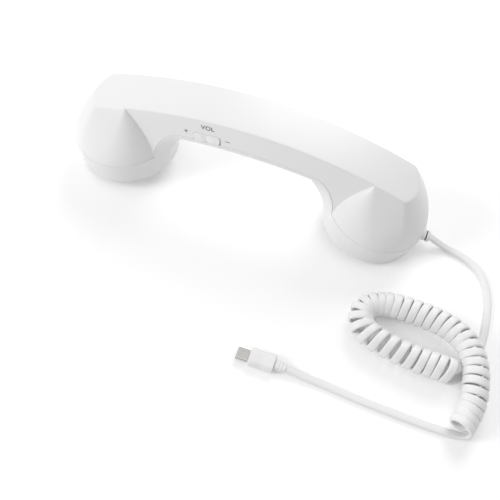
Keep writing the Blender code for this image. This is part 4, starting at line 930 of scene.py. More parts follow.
@dataclass
class FrontShell:
    """The front shell: the plate under the handle, the flares down to the cups and the two rings."""

    form: HousingForm
    shop: Workshop
    seam_gap: float = 0.08 * MM
    seam_step: float = 0.16 * MM
    lip_fade: int = 4
    hollow_below: float = 5 * MM
    hollow_above: float = 10 * MM
    seat_below: float = 5 * MM
    seat_sides: int = 96
    trim_depth: float = 40 * MM

    def _ring_angles(self, inset: float = 0.0) -> list[float]:
        """Find the angles of the pod's columns at the parting circle, from the outer end to the handle.

        Args:
            inset: How far the body is drawn in.

        Returns:
            The angles.
        """
        form = self.form
        detail = form.detail
        meet = form.meeting_angle(inset)
        end = [form.fold_angle * step / detail.end for step in range(detail.end)]
        edge = [form.fold_angle + (form.fan_angle - form.fold_angle) * step / detail.edge
                for step in range(detail.edge)]
        return end + edge + [form.fan_angle + (meet - form.fan_angle) * step / detail.fan
                             for step in range(detail.fan + 1)]

    def _turns(self, start: float) -> list[float]:
        """Find the angles round the flared inner part of the rim.

        Args:
            start: The angle at which the handle's side meets the cup.

        Returns:
            The angles, first under the arch and then across it.
        """
        detail = self.form.detail
        split = start + (math.pi - start) * self.form.flare_share
        arch = [start + (split - start) * step / detail.arch for step in range(1, detail.arch + 1)]
        return arch + [split + (math.pi - split) * step / detail.cross for step in range(1, detail.cross + 1)]

    def _columns(self, tops: Sequence[Vector], ring: Sequence[float], radius: float, soft: float,
                 depth: float) -> list[list[Vector]]:
        """Find columns of points from the parting line down to the rim, with a round foot.

        Args:
            tops: The columns' top points.
            ring: The angles of the columns under the parting circle.
            radius: The rim's radius.
            soft: The rounding of the rim.
            depth: The depth of the foot below the parting plane.

        Returns:
            The columns.
        """
        form = self.form
        inner = self._turns(ring[-1])
        hollows = [0.0] * len(ring)
        hollows += [form.flare_hollow * min(1, step / form.detail.arch) for step in range(1, len(inner) + 1)]
        columns = []
        for top, angle, hollow in zip(tops, [*ring, *inner], hollows):
            foot = form.cup_point(radius, angle, -(form.ring_height - form.rim_round))
            column = []
            for step in range(form.detail.ring + 1):
                share = step / form.detail.ring
                column.append(top.lerp(foot, share) - form.radial(angle) * hollow * 4 * share * (1 - share))
            for step in range(1, form.detail.soft + 1):
                turn = math.pi / 2 * step / form.detail.soft
                drop = depth - (form.ring_height - form.rim_round)
                column.append(form.cup_point(radius - soft * (1 - math.cos(turn)), angle,
                                             -(form.ring_height - form.rim_round) - drop * math.sin(turn)))
            columns.append(column)
        return columns

    def _across(self, start: Vector) -> list[Vector]:
        """Return points from a point on the near side to the middle plane."""
        count = self.form.detail.cross
        return [Vector((start.x, start.y * (1 - step / count), start.z)) for step in range(1, count + 1)]

    def body(self) -> bpy.types.Object:
        """Make the front half as one solid, before it is trimmed to the floor.

        Returns:
            The solid.
        """
        form = self.form
        detail = form.detail
        angles = self._ring_angles()
        meet = angles[-1]
        shift = [max(0, (angle - math.pi / 2) / (meet - math.pi / 2)) for angle in angles]
        gap = self.seam_gap
        rings = [form.cup_point(form.cup_radius + self.seam_step, angle) + Vector((-gap * part, 0, -gap))
                 for angle, part in zip(angles, shift)]
        seam = []
        lip = []
        end = form.arch_end()
        for x in form.stations()[::-1]:
            share = max(0, (x - form.arch_start) / (end - form.arch_start))
            point = form.seam_point(x, -self.seam_step) + Vector((-gap * min(1, share * 2), 0, -gap))
            edge = point + form.seam_normal(x) * form.lip_height * (1 - share ** self.lip_fade)
            edge.y = -form.side_half(edge.x, edge.z)
            seam.append(point)
            lip.append(edge)
        seam[0] = rings[-1]
        lip[0] = rings[-1]
        tops = rings + lip[1:detail.arch + 1] + self._across(lip[detail.arch])
        columns = self._columns(tops, angles, form.rim_radius, form.rim_round, form.ring_height)
        skin = QuarterSkin(self.shop)
        skin.grid(columns)
        skin.grid([seam, lip])
        skin.grid([[edge, *self._across(edge)] for edge in lip[detail.arch:]])
        skin.ladder(rings + seam[1:])
        skin.ladder([column[-1] for column in columns])
        return skin.finish("front_shell_skin", Vector((0, 0, form.seam_height)), "xy")

    def hollow(self) -> bpy.types.Object:
        """Make the hollow of both cups, open above and below.

        Returns:
            The tool that cuts it.
        """
        form = self.form
        detail = form.detail
        angles = self._ring_angles(form.wall)
        rings = [form.cup_point(form.cup_radius - form.wall, angle) for angle in angles]
        start_x = form.arch_start + form.wall
        end = rings[-1].x
        arch = [form.seam_point(start_x + (end - start_x) * math.cos(math.pi / 2 * step / detail.arch), form.wall)
                for step in range(1, detail.arch + 1)]
        tops = rings + arch + self._across(arch[-1])
        columns = self._columns(tops, angles, form.ledge_radius, 0.0, form.ring_height + self.hollow_below)
        skin = QuarterSkin(self.shop)
        skin.grid(columns)
        raised = [top + Vector((0, 0, self.hollow_above)) for top in tops]
        skin.grid([raised, tops])
        rails = raised[:len(rings) + len(arch)]
        skin.ladder(rails[:-1])
        skin.face([rails[-2], *raised[len(rails) - 1:], Vector((rails[-2].x, 0, rails[-2].z))])
        skin.ladder([column[-1] for column in columns])
        return skin.finish("cup_hollow", Vector((form.cup_x, 0, form.ring_height)), "yx")

    def build(self, answer: "AnswerKey", gland: "CordGland") -> bpy.types.Object:
        """Make, hollow and dress the shell.

        Args:
            answer: The answer key, which says where its window is.
            gland: The gland, which says where its hole is.

        Returns:
            The shell.
        """
        form = self.form
        shell = self.body()
        self.shop.cut(shell, self.hollow())
        places = [form.cup_place(cup) for cup in Cup]
        seat_top = form.cap_recess + form.cap_edge + GAP
        self.shop.cut(shell, self.shop.rods("cap_seats", form.cap_radius + GAP, -self.seat_below, seat_top, places,
                                            self.seat_sides))
        size = (3 * form.end_reach, 4 * form.cup_radius, self.trim_depth)
        self.shop.cut(shell, self.shop.box("floor_trim", size, Matrix.Translation((0, 0, -self.trim_depth / 2))))
        self.shop.cut(shell, answer.window_tool())
        self.shop.cut(shell, gland.hole_tool())
        self.shop.resmooth(shell)
        self.shop.dress(shell, PALETTE.shell, "shell_plastic", "handset")
        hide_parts("front_shell")
        return shell


def rounded_outline(width: float, height: float, corner: float, steps: int = 8) -> list[tuple[float, float]]:
    """Return the outline of a rectangle with round corners.

    Args:
        width: Its size along the first axis.
        height: Its size along the second.
        corner: The corner radius.
        steps: Steps round each corner.

    Returns:
        Pairs, in order round the outline.
    """
    points = []
    for side_x, side_y, start in ((1, 1, 0), (-1, 1, 90), (-1, -1, 180), (1, -1, 270)):
        for step in range(steps + 1):
            angle = math.radians(start + 90 * step / steps)
            points.append((side_x * (width / 2 - corner) + corner * math.cos(angle),
                           side_y * (height / 2 - corner) + corner * math.sin(angle)))
    return points


def slab(shop: Workshop, name: str, size: Sequence[float], corner: float, soft: float,
         place: Matrix) -> bpy.types.Object:
    """Make a slab with round corners and soft edges, flat in its frame's XY plane.

    Args:
        shop: The workshop.
        name: The object's name.
        size: Its length, width and thickness.
        corner: The radius of its outline's corners.
        soft: The rounding of its two faces' edges.
        place: Its frame.

    Returns:
        The slab.
    """
    length, width, thick = size
    levels = []
    for step in range(SOFT_STEPS + 1):
        turn = math.pi / 2 * step / SOFT_STEPS
        levels.append((-thick / 2 + soft * (1 - math.sin(turn)), soft * (1 - math.cos(turn))))
    lower = [(height, inset) for height, inset in reversed(levels)] if soft else [(-thick / 2, 0.0)]
    lower.sort()
    upper = [(-height, inset) for height, inset in reversed(lower)]
    sections = []
    for height, inset in lower + upper:
        outline = rounded_outline(length - 2 * inset, width - 2 * inset, max(corner - inset, LEAST_CORNER))
        sections.append([place @ Vector((x, y, height)) for x, y in outline])
    return shop.loft(name, sections)


@dataclass
class VolumeKey:
    """The two-lobed volume rocker in its notch above the parting line."""

    form: HousingForm
    shop: Workshop
    x: float = -23 * MM
    z: float = 51.55 * MM
    length: float = 15.4 * MM
    height: float = 4.8 * MM
    corner: float = 1.4 * MM
    proud: float = 0.8 * MM
    skin: float = 1.2 * MM
    dip: float = 0.55 * MM
    clear: float = 0.22 * MM
    play: float = 0.65 * MM
    soft: float = 0.4 * MM
    end_share: float = 0.9
    least_half: float = 0.3 * MM
    plate_over: float = 2.4 * MM
    plate_thick: float = 0.8 * MM
    plate_less: float = 1.2 * MM
    steps: int = 40
    rows: int = 16

    def place(self) -> Matrix:
        """Return the key's frame on the near side."""
        return self.form.side_place(self.x, self.z)

    def notch_tools(self) -> list[bpy.types.Object]:
        """Make the tools that cut the key's notch.

        Returns:
            The window with round corners and the notch that opens it to the parting line.
        """
        size = (self.length + 2 * self.clear, self.height + 2 * self.clear, 4 * self.form.wall)
        window = slab(self.shop, "key_window", size, self.corner + self.clear, 0.0, self.place() @ UPRIGHT)
        open_side = (self.length + 2 * self.clear, 4 * self.form.wall, self.height)
        shift = Matrix.Translation((0, 0, -self.height / 2))
        return [window, self.shop.box("key_notch", open_side, self.place() @ shift)]

    def _section(self, x: float, place: Matrix) -> list[Vector]:
        """Make one ring of points across the key, high on its lobes and low in the middle.

        Args:
            x: The ring's place along the key, from its middle.
            place: The key's frame.

        Returns:
            The points, up the face and then down the back of the skin.
        """
        inset = 0.0
        reach = self.length / 2 - abs(x)
        if reach < self.corner:
            inset = self.corner - math.sqrt(max(0, self.corner ** 2 - (self.corner - reach) ** 2))
        lobe = math.sin(math.pi * min(1, abs(x) / (self.length / 2 - self.soft)))
        rise = self.proud - self.dip * (1 - lobe) * math.cos(x / self.length * math.pi)
        edge = math.sqrt(max(0, self.soft ** 2 - max(0, self.soft - reach) ** 2))
        rise = min(rise, self.proud - self.soft + edge)
        half = max(self.height / 2 - inset * self.end_share, self.least_half)
        section = []
        for row in range(self.rows + 1):
            across = -1 + 2 * row / self.rows
            over = max(0, (abs(across) * half - half + self.soft) / self.soft)
            fall = self.soft * (1 - math.sqrt(max(0, 1 - over ** 2)))
            section.append(place @ Vector((x, fall - rise, across * half)))
        return section + [place @ Vector((x, self.skin, half)), place @ Vector((x, self.skin, -half))]

    def build(self) -> bpy.types.Object:
        """Make the key as a skin along its length, with a stem and a flange behind it.

        Returns:
            The key.
        """
        place = self.place()
        sections = [self._section((step / self.steps - 0.5) * self.length, place) for step in range(self.steps + 1)]
        key = self.shop.loft("volume_rocker_cap", sections)
        flange = self.form.wall + self.play
        stem = (self.length - 2 * self.corner, flange, self.height / 2)
        shift = Matrix.Translation((0, self.skin / 2 + flange / 2, 0))
        self.shop.cut(key, self.shop.box("key_stem", stem, place @ shift), "UNION")
        plate = (self.length + self.plate_over, self.plate_thick, self.height - self.plate_less)
        shift = Matrix.Translation((0, flange + self.plate_thick / 2, self.plate_less / 2))
        self.shop.cut(key, self.shop.box("key_plate", plate, place @ shift), "UNION")
        self.shop.resmooth(key)
        self.shop.dress(key, PALETTE.key, "key_plastic", "rocker")
        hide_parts("volume_rocker")
        return key


@dataclass
class AnswerKey:
    """The answer key in the underside of the handle."""

    form: HousingForm
    shop: Workshop
    x: float = -5 * MM
    length: float = 13 * MM
    width: float = 6.5 * MM
    proud: float = 0.6 * MM
    corner: float = 2.95 * MM
    soft: float = 0.5 * MM
    overlap: float = 0.5 * MM
    flange: float = 1.1 * MM
    flange_thick: float = 0.7 * MM

    def _roof(self) -> float:
        """Return the height of the plate's upper face."""
        return self.form.seam_z(self.x) - GAP

    def window_tool(self) -> bpy.types.Object:
        """Make the tool that cuts the key's window.

        Returns:
            The tool.
        """
        size = (self.length + 2 * GAP, self.width + 2 * GAP, 4 * self.form.lip_height)
        place = Matrix.Translation((self.x, 0, self._roof() - self.form.lip_height))
        return slab(self.shop, "answer_window", size, self.corner + GAP, 0.0, place)

    def build(self) -> bpy.types.Object:
        """Make the key as a soft-edged slab with a flange above the plate.

        Returns:
            The key.
        """
        thick = self.form.lip_height + self.proud + GAP + self.overlap
        middle = self._roof() - self.form.lip_height - self.proud + thick / 2
        place = Matrix.Translation((self.x, 0, middle))
        key = slab(self.shop, "answer_key_cap", (self.length, self.width, thick), self.corner, self.soft, place)
        size = (self.length + 2 * self.flange, self.width + 2 * self.flange, self.flange_thick)
        place = Matrix.Translation((self.x, 0, self._roof() + GAP + self.flange_thick / 2))
        self.shop.cut(key, slab(self.shop, "answer_flange", size, self.corner, 0.0, place), "UNION")
        self.shop.resmooth(key)
        self.shop.dress(key, PALETTE.key, "key_plastic", "answer_key")
        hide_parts("answer_button")
        return key


class Legend(Enum):
    """The printed marks beside the volume key: text, place along and up the side, and height or length."""

    VOLUME = ("VOL", -23.1 * MM, 59.0 * MM, 2.85 * MM)
    LOUDER = ("+", -35.0 * MM, 52.5 * MM, 2.4 * MM)
    SOFTER = ("-", -11.1 * MM, 53.7 * MM, 2.6 * MM)


@dataclass
class Legends:
    """The marks printed on the near side."""

    form: HousingForm
    shop: Workshop
    stroke: float = 0.42 * MM
    lift: float = 0.04 * MM
    weight: float = 0.016
    letter_space: float = 1.05
    curve_steps: int = 6
    bar_steps: tuple[int, int] = (8, 2)

    def _bars(self, legend: Legend) -> bmesh.types.BMesh:
        """Draw a plus or a minus from flat bars.

        Args:
            legend: The mark.

        Returns:
            The bars, about their middle.
        """
        size = legend.value[3]
        shape = bmesh.new()
        turns = (0, 90) if legend is Legend.LOUDER else (0,)
        for turn in turns:
            place = Matrix.Rotation(math.radians(turn), 4, "Z") @ Matrix.Diagonal((size, self.stroke, 1, 1))
            along, across = self.bar_steps
            bmesh.ops.create_grid(shape, x_segments=along, y_segments=across, size=0.5, matrix=place)
        return shape

    def _letters(self, legend: Legend) -> bmesh.types.BMesh:
        """Draw the word as flat letters of the stated height.

        Args:
            legend: The word.

        Returns:
            The letters, about their middle.
        """
        curve = bpy.data.curves.new("word", "FONT")
        curve.body = legend.value[0]
        curve.size = 1.0
        curve.resolution_u = self.curve_steps
        curve.offset = self.weight
        curve.space_character = self.letter_space
        holder = bpy.data.objects.new("word", curve)
        bpy.context.scene.collection.objects.link(holder)
        bpy.context.view_layer.update()
        mesh = bpy.data.meshes.new_from_object(holder.evaluated_get(bpy.context.evaluated_depsgraph_get()))
        bpy.data.objects.remove(holder, do_unlink=True)
        bpy.data.curves.remove(curve)
        shape = bmesh.new()
        shape.from_mesh(mesh)
        bpy.data.meshes.remove(mesh)
        low = Vector((min(v.co.x for v in shape.verts), min(v.co.y for v in shape.verts), 0))
        high = Vector((max(v.co.x for v in shape.verts), max(v.co.y for v in shape.verts), 0))
        scale = legend.value[3] / (high.y - low.y)
        for vertex in shape.verts:
            vertex.co = (vertex.co - (low + high) / 2) * scale
        bmesh.ops.triangulate(shape, faces=shape.faces)
        return shape

    def build(self) -> None:
        """Make each mark and lay it on the drafted side."""
        for legend in Legend:
            shape = self._letters(legend) if legend is Legend.VOLUME else self._bars(legend)
            _, x, z, _ = legend.value
            slope = math.asin(x / self.form.back_radius)
            for vertex in shape.verts:
                along, up = vertex.co.x, vertex.co.y
                place_x = x + along * math.cos(slope) + up * math.sin(slope)
                place_z = z - along * math.sin(slope) + up * math.cos(slope)
                vertex.co = Vector((place_x, -self.form.side_half(place_x, place_z) - self.lift, place_z))
            bmesh.ops.recalc_face_normals(shape, faces=shape.faces)
            if shape.faces[:] and sum(item.normal.y for item in shape.faces) > 0:
                bmesh.ops.reverse_faces(shape, faces=shape.faces)
            item = self.shop.from_bmesh("legend_" + legend.name.lower(), shape)
            self.shop.dress(item, PALETTE.print_ink, "black_plastic", "handset")


@dataclass
class CupCap:
    """A dished and perforated cap in a cup's rim."""

    form: HousingForm
    shop: Workshop
    cup: Cup
    node: str
    hole_radius: float
    hole_step: float
    hole_rings: int
    collar: float
    collar_top: float
    wall: float = 1.8 * MM
    dish: float = 2.4 * MM
    land: float = 5.6 * MM
    collar_wall: float = 1.4 * MM
    edge_width: float = 2.4 * MM
    edge_round: float = 0.5 * MM
    dish_step: float = 0.6 * MM
    dish_rows: int = 12
    hole_sides: int = 20
    first_ring: int = 6

    def _inner(self, radius: float) -> float:
        """Return the height of the inner face."""
        share = min(1, radius / (self.form.cap_radius - self.land))
        return self.form.cap_recess + self.wall + self.dish * (1 - share ** 2)

    def _profile(self) -> list[tuple[float, float]]:
        """Draw the cap's outline, from its inner face round its edge to its dish.

        Returns:
            Pairs of a radius and a height.
        """
        radius = self.form.cap_radius
        dish_radius = radius - self.land
        outer = self.collar + self.collar_wall
        face = self.form.cap_recess
        step = radius - self.edge_width
        points = [(0, self._inner(0)), (self.collar * 0.5, self._inner(self.collar * 0.5))]
        points += [(self.collar, self._inner(self.collar)), (self.collar, self.collar_top)]
        points += [(outer, self.collar_top), (outer, self._inner(outer)), (dish_radius, self._inner(dish_radius))]
        points += [(step, self._inner(step)), (step, face + self.form.cap_edge), (radius, face + self.form.cap_edge)]
        for turn in range(SOFT_STEPS + 1):
            angle = math.pi / 2 * turn / SOFT_STEPS
            points.append((radius - self.edge_round * (1 - math.cos(angle)),
                           face + self.edge_round * (1 - math.sin(angle))))
        points.append((dish_radius + self.dish_step, face))
        for row in range(self.dish_rows + 1):
            reach = dish_radius * (1 - row / self.dish_rows)
            points.append((reach, self._inner(reach) - self.wall))
        return points

    def build(self) -> bpy.types.Object:
        """Make the cap and its holes.

        Returns:
            The cap.
        """
        place = self.form.cup_place(self.cup)
        cap = self.shop.turned(self.node + "_dish", self._profile(), place)
        places = [place]
        for ring in range(1, self.hole_rings + 1):
            count = self.first_ring * ring
            for i in range(count):
                turn = Matrix.Rotation(2 * math.pi * i / count, 4, "Z")
                places.append(place @ turn @ Matrix.Translation((ring * self.hole_step, 0, 0)))
        self.shop.cut(cap, self.shop.rods("cap_holes", self.hole_radius, 0, self.collar_top, places, self.hole_sides))
        self.shop.resmooth(cap)
        self.shop.dress(cap, PALETTE.cap, "cap_plastic", "handset")
        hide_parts(self.node)
        return cap


@dataclass
class CordGland:
    """The soft gland in the end of the mouth ring, where the cord comes out.

    The nose's pairs are millimetres back from the outer face, and how much wider the sleeve is there.
    """

    form: HousingForm
    shop: Workshop
    width: float = 7 * MM
    height: float = 4.4 * MM
    rise: float = 8 * MM
    proud: float = 6 * MM
    collar: float = 3.4 * MM
    groove: float = 0.6 * MM
    flange: float = 1.2 * MM
    corner: float = 1.9 * MM
    corner_share: float = 0.5
    inward: float = 0.75
    soft: float = 0.3 * MM
    soft_share: float = 0.3
    step: float = 0.02 * MM
    sunk: float = 1.8
    # How deep in the groove, in groove depths, a face must lie to get the painted shade.
    painted_shade_from: float = 1.5
    sleeve_inset: float = 0.2 * MM
    nose: Sequence[tuple[float, float]] = ((0.8, -0.1), (0.25, -0.25), (0.05, -0.5), (0.0, -0.8))

    def _ring_radius(self) -> float:
        """Return the ring's outer radius at the gland."""
        return self.form.rim_radius + (self.form.cup_radius - self.form.rim_radius) * self.rise / self.form.ring_height

    def _place(self, reach: float) -> Matrix:
        """Return a frame across the gland, at a reach from the cup's axis."""
        return self.form.cup_place(Cup.MOUTH) @ Matrix.Translation((reach, 0, self.rise)) @ ACROSS

    def hole_tool(self) -> bpy.types.Object:
        """Make the tool that cuts the gland's hole in the ring."""
        size = (self.width + 2 * GAP, self.height + 2 * GAP, 4 * self.form.wall)
        return slab(self.shop, "gland_hole", size, self.corner + GAP, 0.0, self._place(self._ring_radius()))

    def mouth(self) -> tuple[Vector, Vector]:
        """Find where the cord comes out.

        Returns:
            The middle of the gland's outer face and the direction that it faces.
        """
        place = self.form.cup_place(Cup.MOUTH)
        point = place @ Vector((self._ring_radius() + self.proud, 0, self.rise))
        return point, (place.to_3x3() @ Vector((1, 0, 0))).normalized()

    def build(self) -> bpy.types.Object:
        """Make the flange inside the ring, the collar, the groove and the sleeve that grips the cord, with painted
        shade on the groove's faces.

        Returns:
            The gland.
        """
        inner = self.form.ledge_radius - GAP
        split = self._ring_radius() + self.collar
        outer = self._ring_radius() + self.proud
        foot = inner + self.flange * (1 - self.inward)
        bevel = self.soft * self.soft_share
        far = split + self.groove
        seat = -self.sunk * self.groove
        stations = [(inner - self.flange * self.inward, self.flange), (foot, self.flange), (foot + self.step, 0.0)]
        stations += [(self._ring_radius(), 0.0), (split - self.soft, 0.0)]
        stations += [(split - bevel, -bevel), (split, -self.soft), (split + self.step, seat)]
        stations += [(far, seat), (far + self.step, -self.sleeve_inset), (far + self.soft, 0.0)]
        stations += [(outer - back * MM, grow * MM) for back, grow in self.nose]
        sections = []
        for reach, grow in stations:
            place = self._place(reach)
            corner = self.corner + grow * self.corner_share
            outline = rounded_outline(self.width + 2 * grow, self.height + 2 * grow, corner)
            sections.append([place @ Vector((x, y, 0)) for x, y in outline])
        gland = self.shop.loft("gland_sleeve", sections)
        self.shop.dress(gland, PALETTE.gland, "gland_rubber", "handset")
        # Painted shade: the groove's faces get a near-black finish that stands in for the shadow inside the groove.
        gland.data.materials.append(PALETTE.groove_painted_shade.material(self.shop.groups))
        for item in gland.data.polygons:
            band = item.index // len(sections[0])
            if any(grow < -self.painted_shade_from * self.groove for _, grow in stations[band:band + 2]):
                item.material_index = 1
        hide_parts("cord_grommet")
        return gland


class Route:
    """A smooth line through points of its own."""

    reads: int = 40

    def __init__(self, points: Sequence[Vector], spacing: float) -> None:
        """Read evenly spaced points off a smooth curve through the given ones.

        Args:
            points: The points that the curve goes through.
            spacing: The distance between the points read.
        """
        ends = [points[0] * 2 - points[1], *points, points[-1] * 2 - points[-2]]
        fine = []
        for i in range(1, len(ends) - 2):
            before, start, end, after = ends[i - 1:i + 3]
            for read in range(self.reads):
                t = read / self.reads
                bend = start * 2 + (end - before) * t
                bend += (before * 2 - start * 5 + end * 4 - after) * t ** 2
                bend += (start * 3 - before - end * 3 + after) * t ** 3
                fine.append(bend / 2)
        fine.append(points[-1])
        self.length = sum((b - a).length for a, b in zip(fine, fine[1:]))
        count = max(2, round(self.length / spacing))
        self.points = [fine[0]]
        run = 0.0
        for a, b in zip(fine, fine[1:]):
            step = (b - a).length
            while len(self.points) < count and run + step >= len(self.points) * self.length / count:
                part = (len(self.points) * self.length / count - run) / step
                self.points.append(a.lerp(b, part))
            run += step
        self.points.append(fine[-1])


def directions(points: Sequence[Vector]) -> list[Vector]:
    """Return the direction of a line at each of its points."""
    last = len(points) - 1
    return [(points[min(i + 1, last)] - points[max(i - 1, 0)]).normalized() for i in range(last + 1)]


def from_mm(points: Iterable[tuple[float, float, float]]) -> list[Vector]:
    """Return points given in millimetres as vectors in metres."""
    return [Vector(point) * MM for point in points]


@dataclass
class CurlyCord:
    """The flat cord: a straight lead, a tight coil that lies in a loop, and a straight tail to the plug.

    The points of its lines, the coil's runs with their pitches and the two distances at the gland are in millimetres.
    """

    shop: Workshop
    gland: CordGland
    width: float = 4.4 * MM
    thick: float = 2.0 * MM
    corner: float = 0.85 * MM
    coil_outer: float = 7.1 * MM
    pitches: Sequence[tuple[float, float]] = (
        (0.0, 4.2), (8.0, 4.4), (14.0, 5.0), (20.0, 5.7), (28.0, 6.4), (36.0, 6.8), (42.0, 6.6), (48.0, 5.6),
        (54.0, 4.6), (62.0, 4.1), (74.0, 4.1), (80.0, 4.8), (88.0, 5.1), (155.0, 5.1), (165.0, 4.6),
    )
    turn_steps: int = 26
    lead: Sequence[tuple[float, float, float]] = (
        (114.2, -0.1, 5.0), (117.8, -0.3, 3.4), (121.6, -0.6, 1.9), (126.5, -1.3, 1.15), (133.1, -3.3, 1.1),
        (138.8, -5.8, 1.1), (143.6, -9.4, 1.1), (147.3, -14.3, 1.1), (150.3, -21.5, 1.1), (152.5, -31.5, 1.1),
        (153.4, -44.7, 1.1), (153.0, -56.6, 1.1), (151.2, -66.6, 1.1), (149.2, -72.2, 1.1), (147.3, -75.8, 1.1),
        (145.1, -78.5, 1.1), (142.9, -80.7, 1.1), (140.4, -82.2, 1.1), (138.0, -82.8, 1.1),
    )
    coil: Sequence[tuple[float, float, float]] = (
        (139.2, -80.0, 7.2), (136.4, -80.3, 8.0), (132.6, -80.2, 8.2), (128.0, -79.9, 7.8), (122.7, -79.6, 7.4),
        (113.6, -78.7, 7.3), (104.4, -77.2, 7.3), (95.6, -75.0, 7.3), (89.0, -71.4, 7.3), (85.9, -65.8, 7.3),
        (86.8, -60.0, 7.3), (90.6, -55.9, 7.3),
        (95.7, -53.7, 7.3), (100.6, -52.7, 7.4), (106.6, -52.2, 7.7), (114.0, -52.4, 8.2), (120.4, -53.2, 8.9),
        (126.8, -54.6, 9.7), (133.0, -56.6, 10.5), (138.3, -59.3, 11.2), (143.2, -63.1, 11.6), (147.0, -68.3, 11.8),
        (149.8, -74.2, 11.8), (151.5, -80.2, 11.6), (152.5, -86.2, 11.0), (153.2, -92.3, 9.8), (152.7, -98.8, 8.2),
        (151.4, -104.0, 7.4), (150.1, -108.6, 7.1),
    )
    tail: Sequence[tuple[float, float, float]] = (
        (156.2, -109.7, 4.4), (154.8, -110.2, 2.5), (151.6, -110.6, 1.5), (146.5, -111.1, 1.1),
        (141.2, -111.3, 1.1), (130.5, -111.2, 1.1), (119.7, -110.8, 1.1), (108.9, -110.3, 1.1), (97.9, -109.7, 1.1),
        (86.7, -108.7, 1.1), (75.5, -107.8, 1.2), (65.5, -107.2, 1.7),
    )
    plug_end: tuple[float, float, float] = (56.6, -106.4, 2.7)
    corner_steps: int = 3
    coil_spacing: float = 0.25 * MM
    spacing: float = 1.8 * MM
    last_part: float = 0.75
    inside_gland: float = 0.6
    past_gland: float = 1.4
    end_clear: float = 1.6 * MM
    turn_clear: float = 0.9 * MM
    flat_run: int = 12
    blend_reach: int = 8
    blend_passes: int = 4

    def _pitch(self, run: float) -> float:
        """Find the distance between turns.

        Args:
            run: The distance along the coil's middle line.

        Returns:
            The distance from one turn to the next there.
        """
        for (start, near), (end, far) in zip(self.pitches, self.pitches[1:]):
            if run < end * MM:
                return (near + (far - near) * (run / MM - start) / (end - start)) * MM
        return self.pitches[-1][1] * MM

    def _helix(self) -> tuple[list[Vector], list[Vector]]:
        """Wind the cord round the coil's middle line.

        Returns:
            The points of the winding and the direction of the cord's flat face at each.
        """
        middle = Route(from_mm(self.coil), self.coil_spacing)
        tangents = directions(middle.points)
        total = middle.length
        step = total / (len(middle.points) - 1)
        radius = self.coil_outer - self.thick / 2
        turns = [0.0]
        for i in range(1, len(middle.points)):
            turns.append(turns[-1] + step / self._pitch(i * step))
        whole = round(turns[-1] - self.last_part) + self.last_part
        grow = whole / turns[-1]
        points = []
        normals = []
        side = tangents[0].cross(Vector((0, 0, 1))).normalized()
        sides = [side]
        for tangent in tangents[1:]:
            side = (sides[-1] - tangent * sides[-1].dot(tangent)).normalized()
            sides.append(side)
        count = int(whole * self.turn_steps)
        low = 0
        for read in range(count + 1):
            wanted = whole * read / count
            low = self._find_from(turns, grow, wanted, low)
            part = 0.0
            if low + 1 < len(turns):
                part = (wanted - turns[low] * grow) / max(TINY, (turns[low + 1] - turns[low]) * grow)
            after = min(low + 1, len(turns) - 1)
            centre = middle.points[low].lerp(middle.points[after], part)
            tangent = tangents[low].lerp(tangents[after], part).normalized()
            right = sides[low].lerp(sides[after], part)
            right = (right - tangent * right.dot(tangent)).normalized()
            up = right.cross(tangent).normalized()
            angle = -math.pi / 2 + 2 * math.pi * wanted
            out = right * math.cos(angle) + up * math.sin(angle)
            points.append(centre + out * radius)
            normals.append(out)
        return points, normals

    @staticmethod
    def _find_from(turns: Sequence[float], grow: float, wanted: float, start: int) -> int:
        """Find the last place whose count of turns isn't over the wanted one.

        Args:
            turns: The turns wound up to each place.
            grow: The share by which they are stretched to end on a whole part of a turn.
            wanted: The wanted count of turns.
            start: The place to start from.

        Returns:
            The place.
        """
        place = start
        while place + 1 < len(turns) and turns[place + 1] * grow <= wanted:
            place += 1
        return place

    def _laid_flat(self, face: Vector, points: Sequence[Vector]) -> list[Vector]:
        """Carry the direction of the flat face on along a stretch and turn it to the floor.

        Args:
            face: The direction before the stretch.
            points: The stretch's points.

        Returns:
            The direction at each point.
        """
        faces = []
        for i, tangent in enumerate(directions(points)):
            face = (face - tangent * face.dot(tangent)).normalized()
            down = Vector((0, 0, -1))
            down -= tangent * down.dot(tangent)
            share = min(1, i / self.flat_run)
            face = face.lerp(down, share * share * (3 - 2 * share) * down.length).normalized()
            faces.append(face)
        return faces

    def _crowds(self, point: Vector, end: Vector, turn: Vector) -> bool:
        """Say whether a point stands too near the coil's end to be a point of the cord's line.

        Args:
            point: The point.
            end: The coil's end.
            turn: A point a little way into the coil.

        Returns:
            Whether it does.
        """
        return (point - end).length < self.end_clear or (point - turn).length < self.turn_clear

    def line(self) -> tuple[list[Vector], list[Vector]]:
        """Lay the whole cord.

        Returns:
            Its points and the direction of its flat face at each.
        """
        down = Vector((0, 0, -1))
        start, outward = self.gland.mouth()
        turns, faces = self._helix()
        lead_points = [start - outward * self.inside_gland * MM, start + outward * self.past_gland * MM,
                       *from_mm(self.lead)]
        lead = Route(lead_points + [turns[0], turns[2]], self.spacing).points
        while self._crowds(lead[-1], turns[0], turns[2]):
            lead.pop()
        end = Vector(self.plug_end) * MM
        tail_points = [turns[-3], turns[-1], *from_mm(self.tail), end]
        tail = Route(tail_points, self.spacing).points
        while self._crowds(tail[0], turns[-1], turns[-3]):
            tail.pop(0)
        points = lead + turns + tail
        normals = [down] * len(lead) + faces + self._laid_flat(faces[-1], tail)
        joins = (len(lead), len(lead) + len(turns))
        for _ in range(self.blend_passes):
            near = [any(abs(i - join) < self.blend_reach for join in joins) for i in range(len(normals))]
            normals = [(normals[i - 1] + normals[i] * 2 + normals[i + 1]).normalized() if near[i] else normals[i]
                       for i in range(len(normals))]
        return points, normals

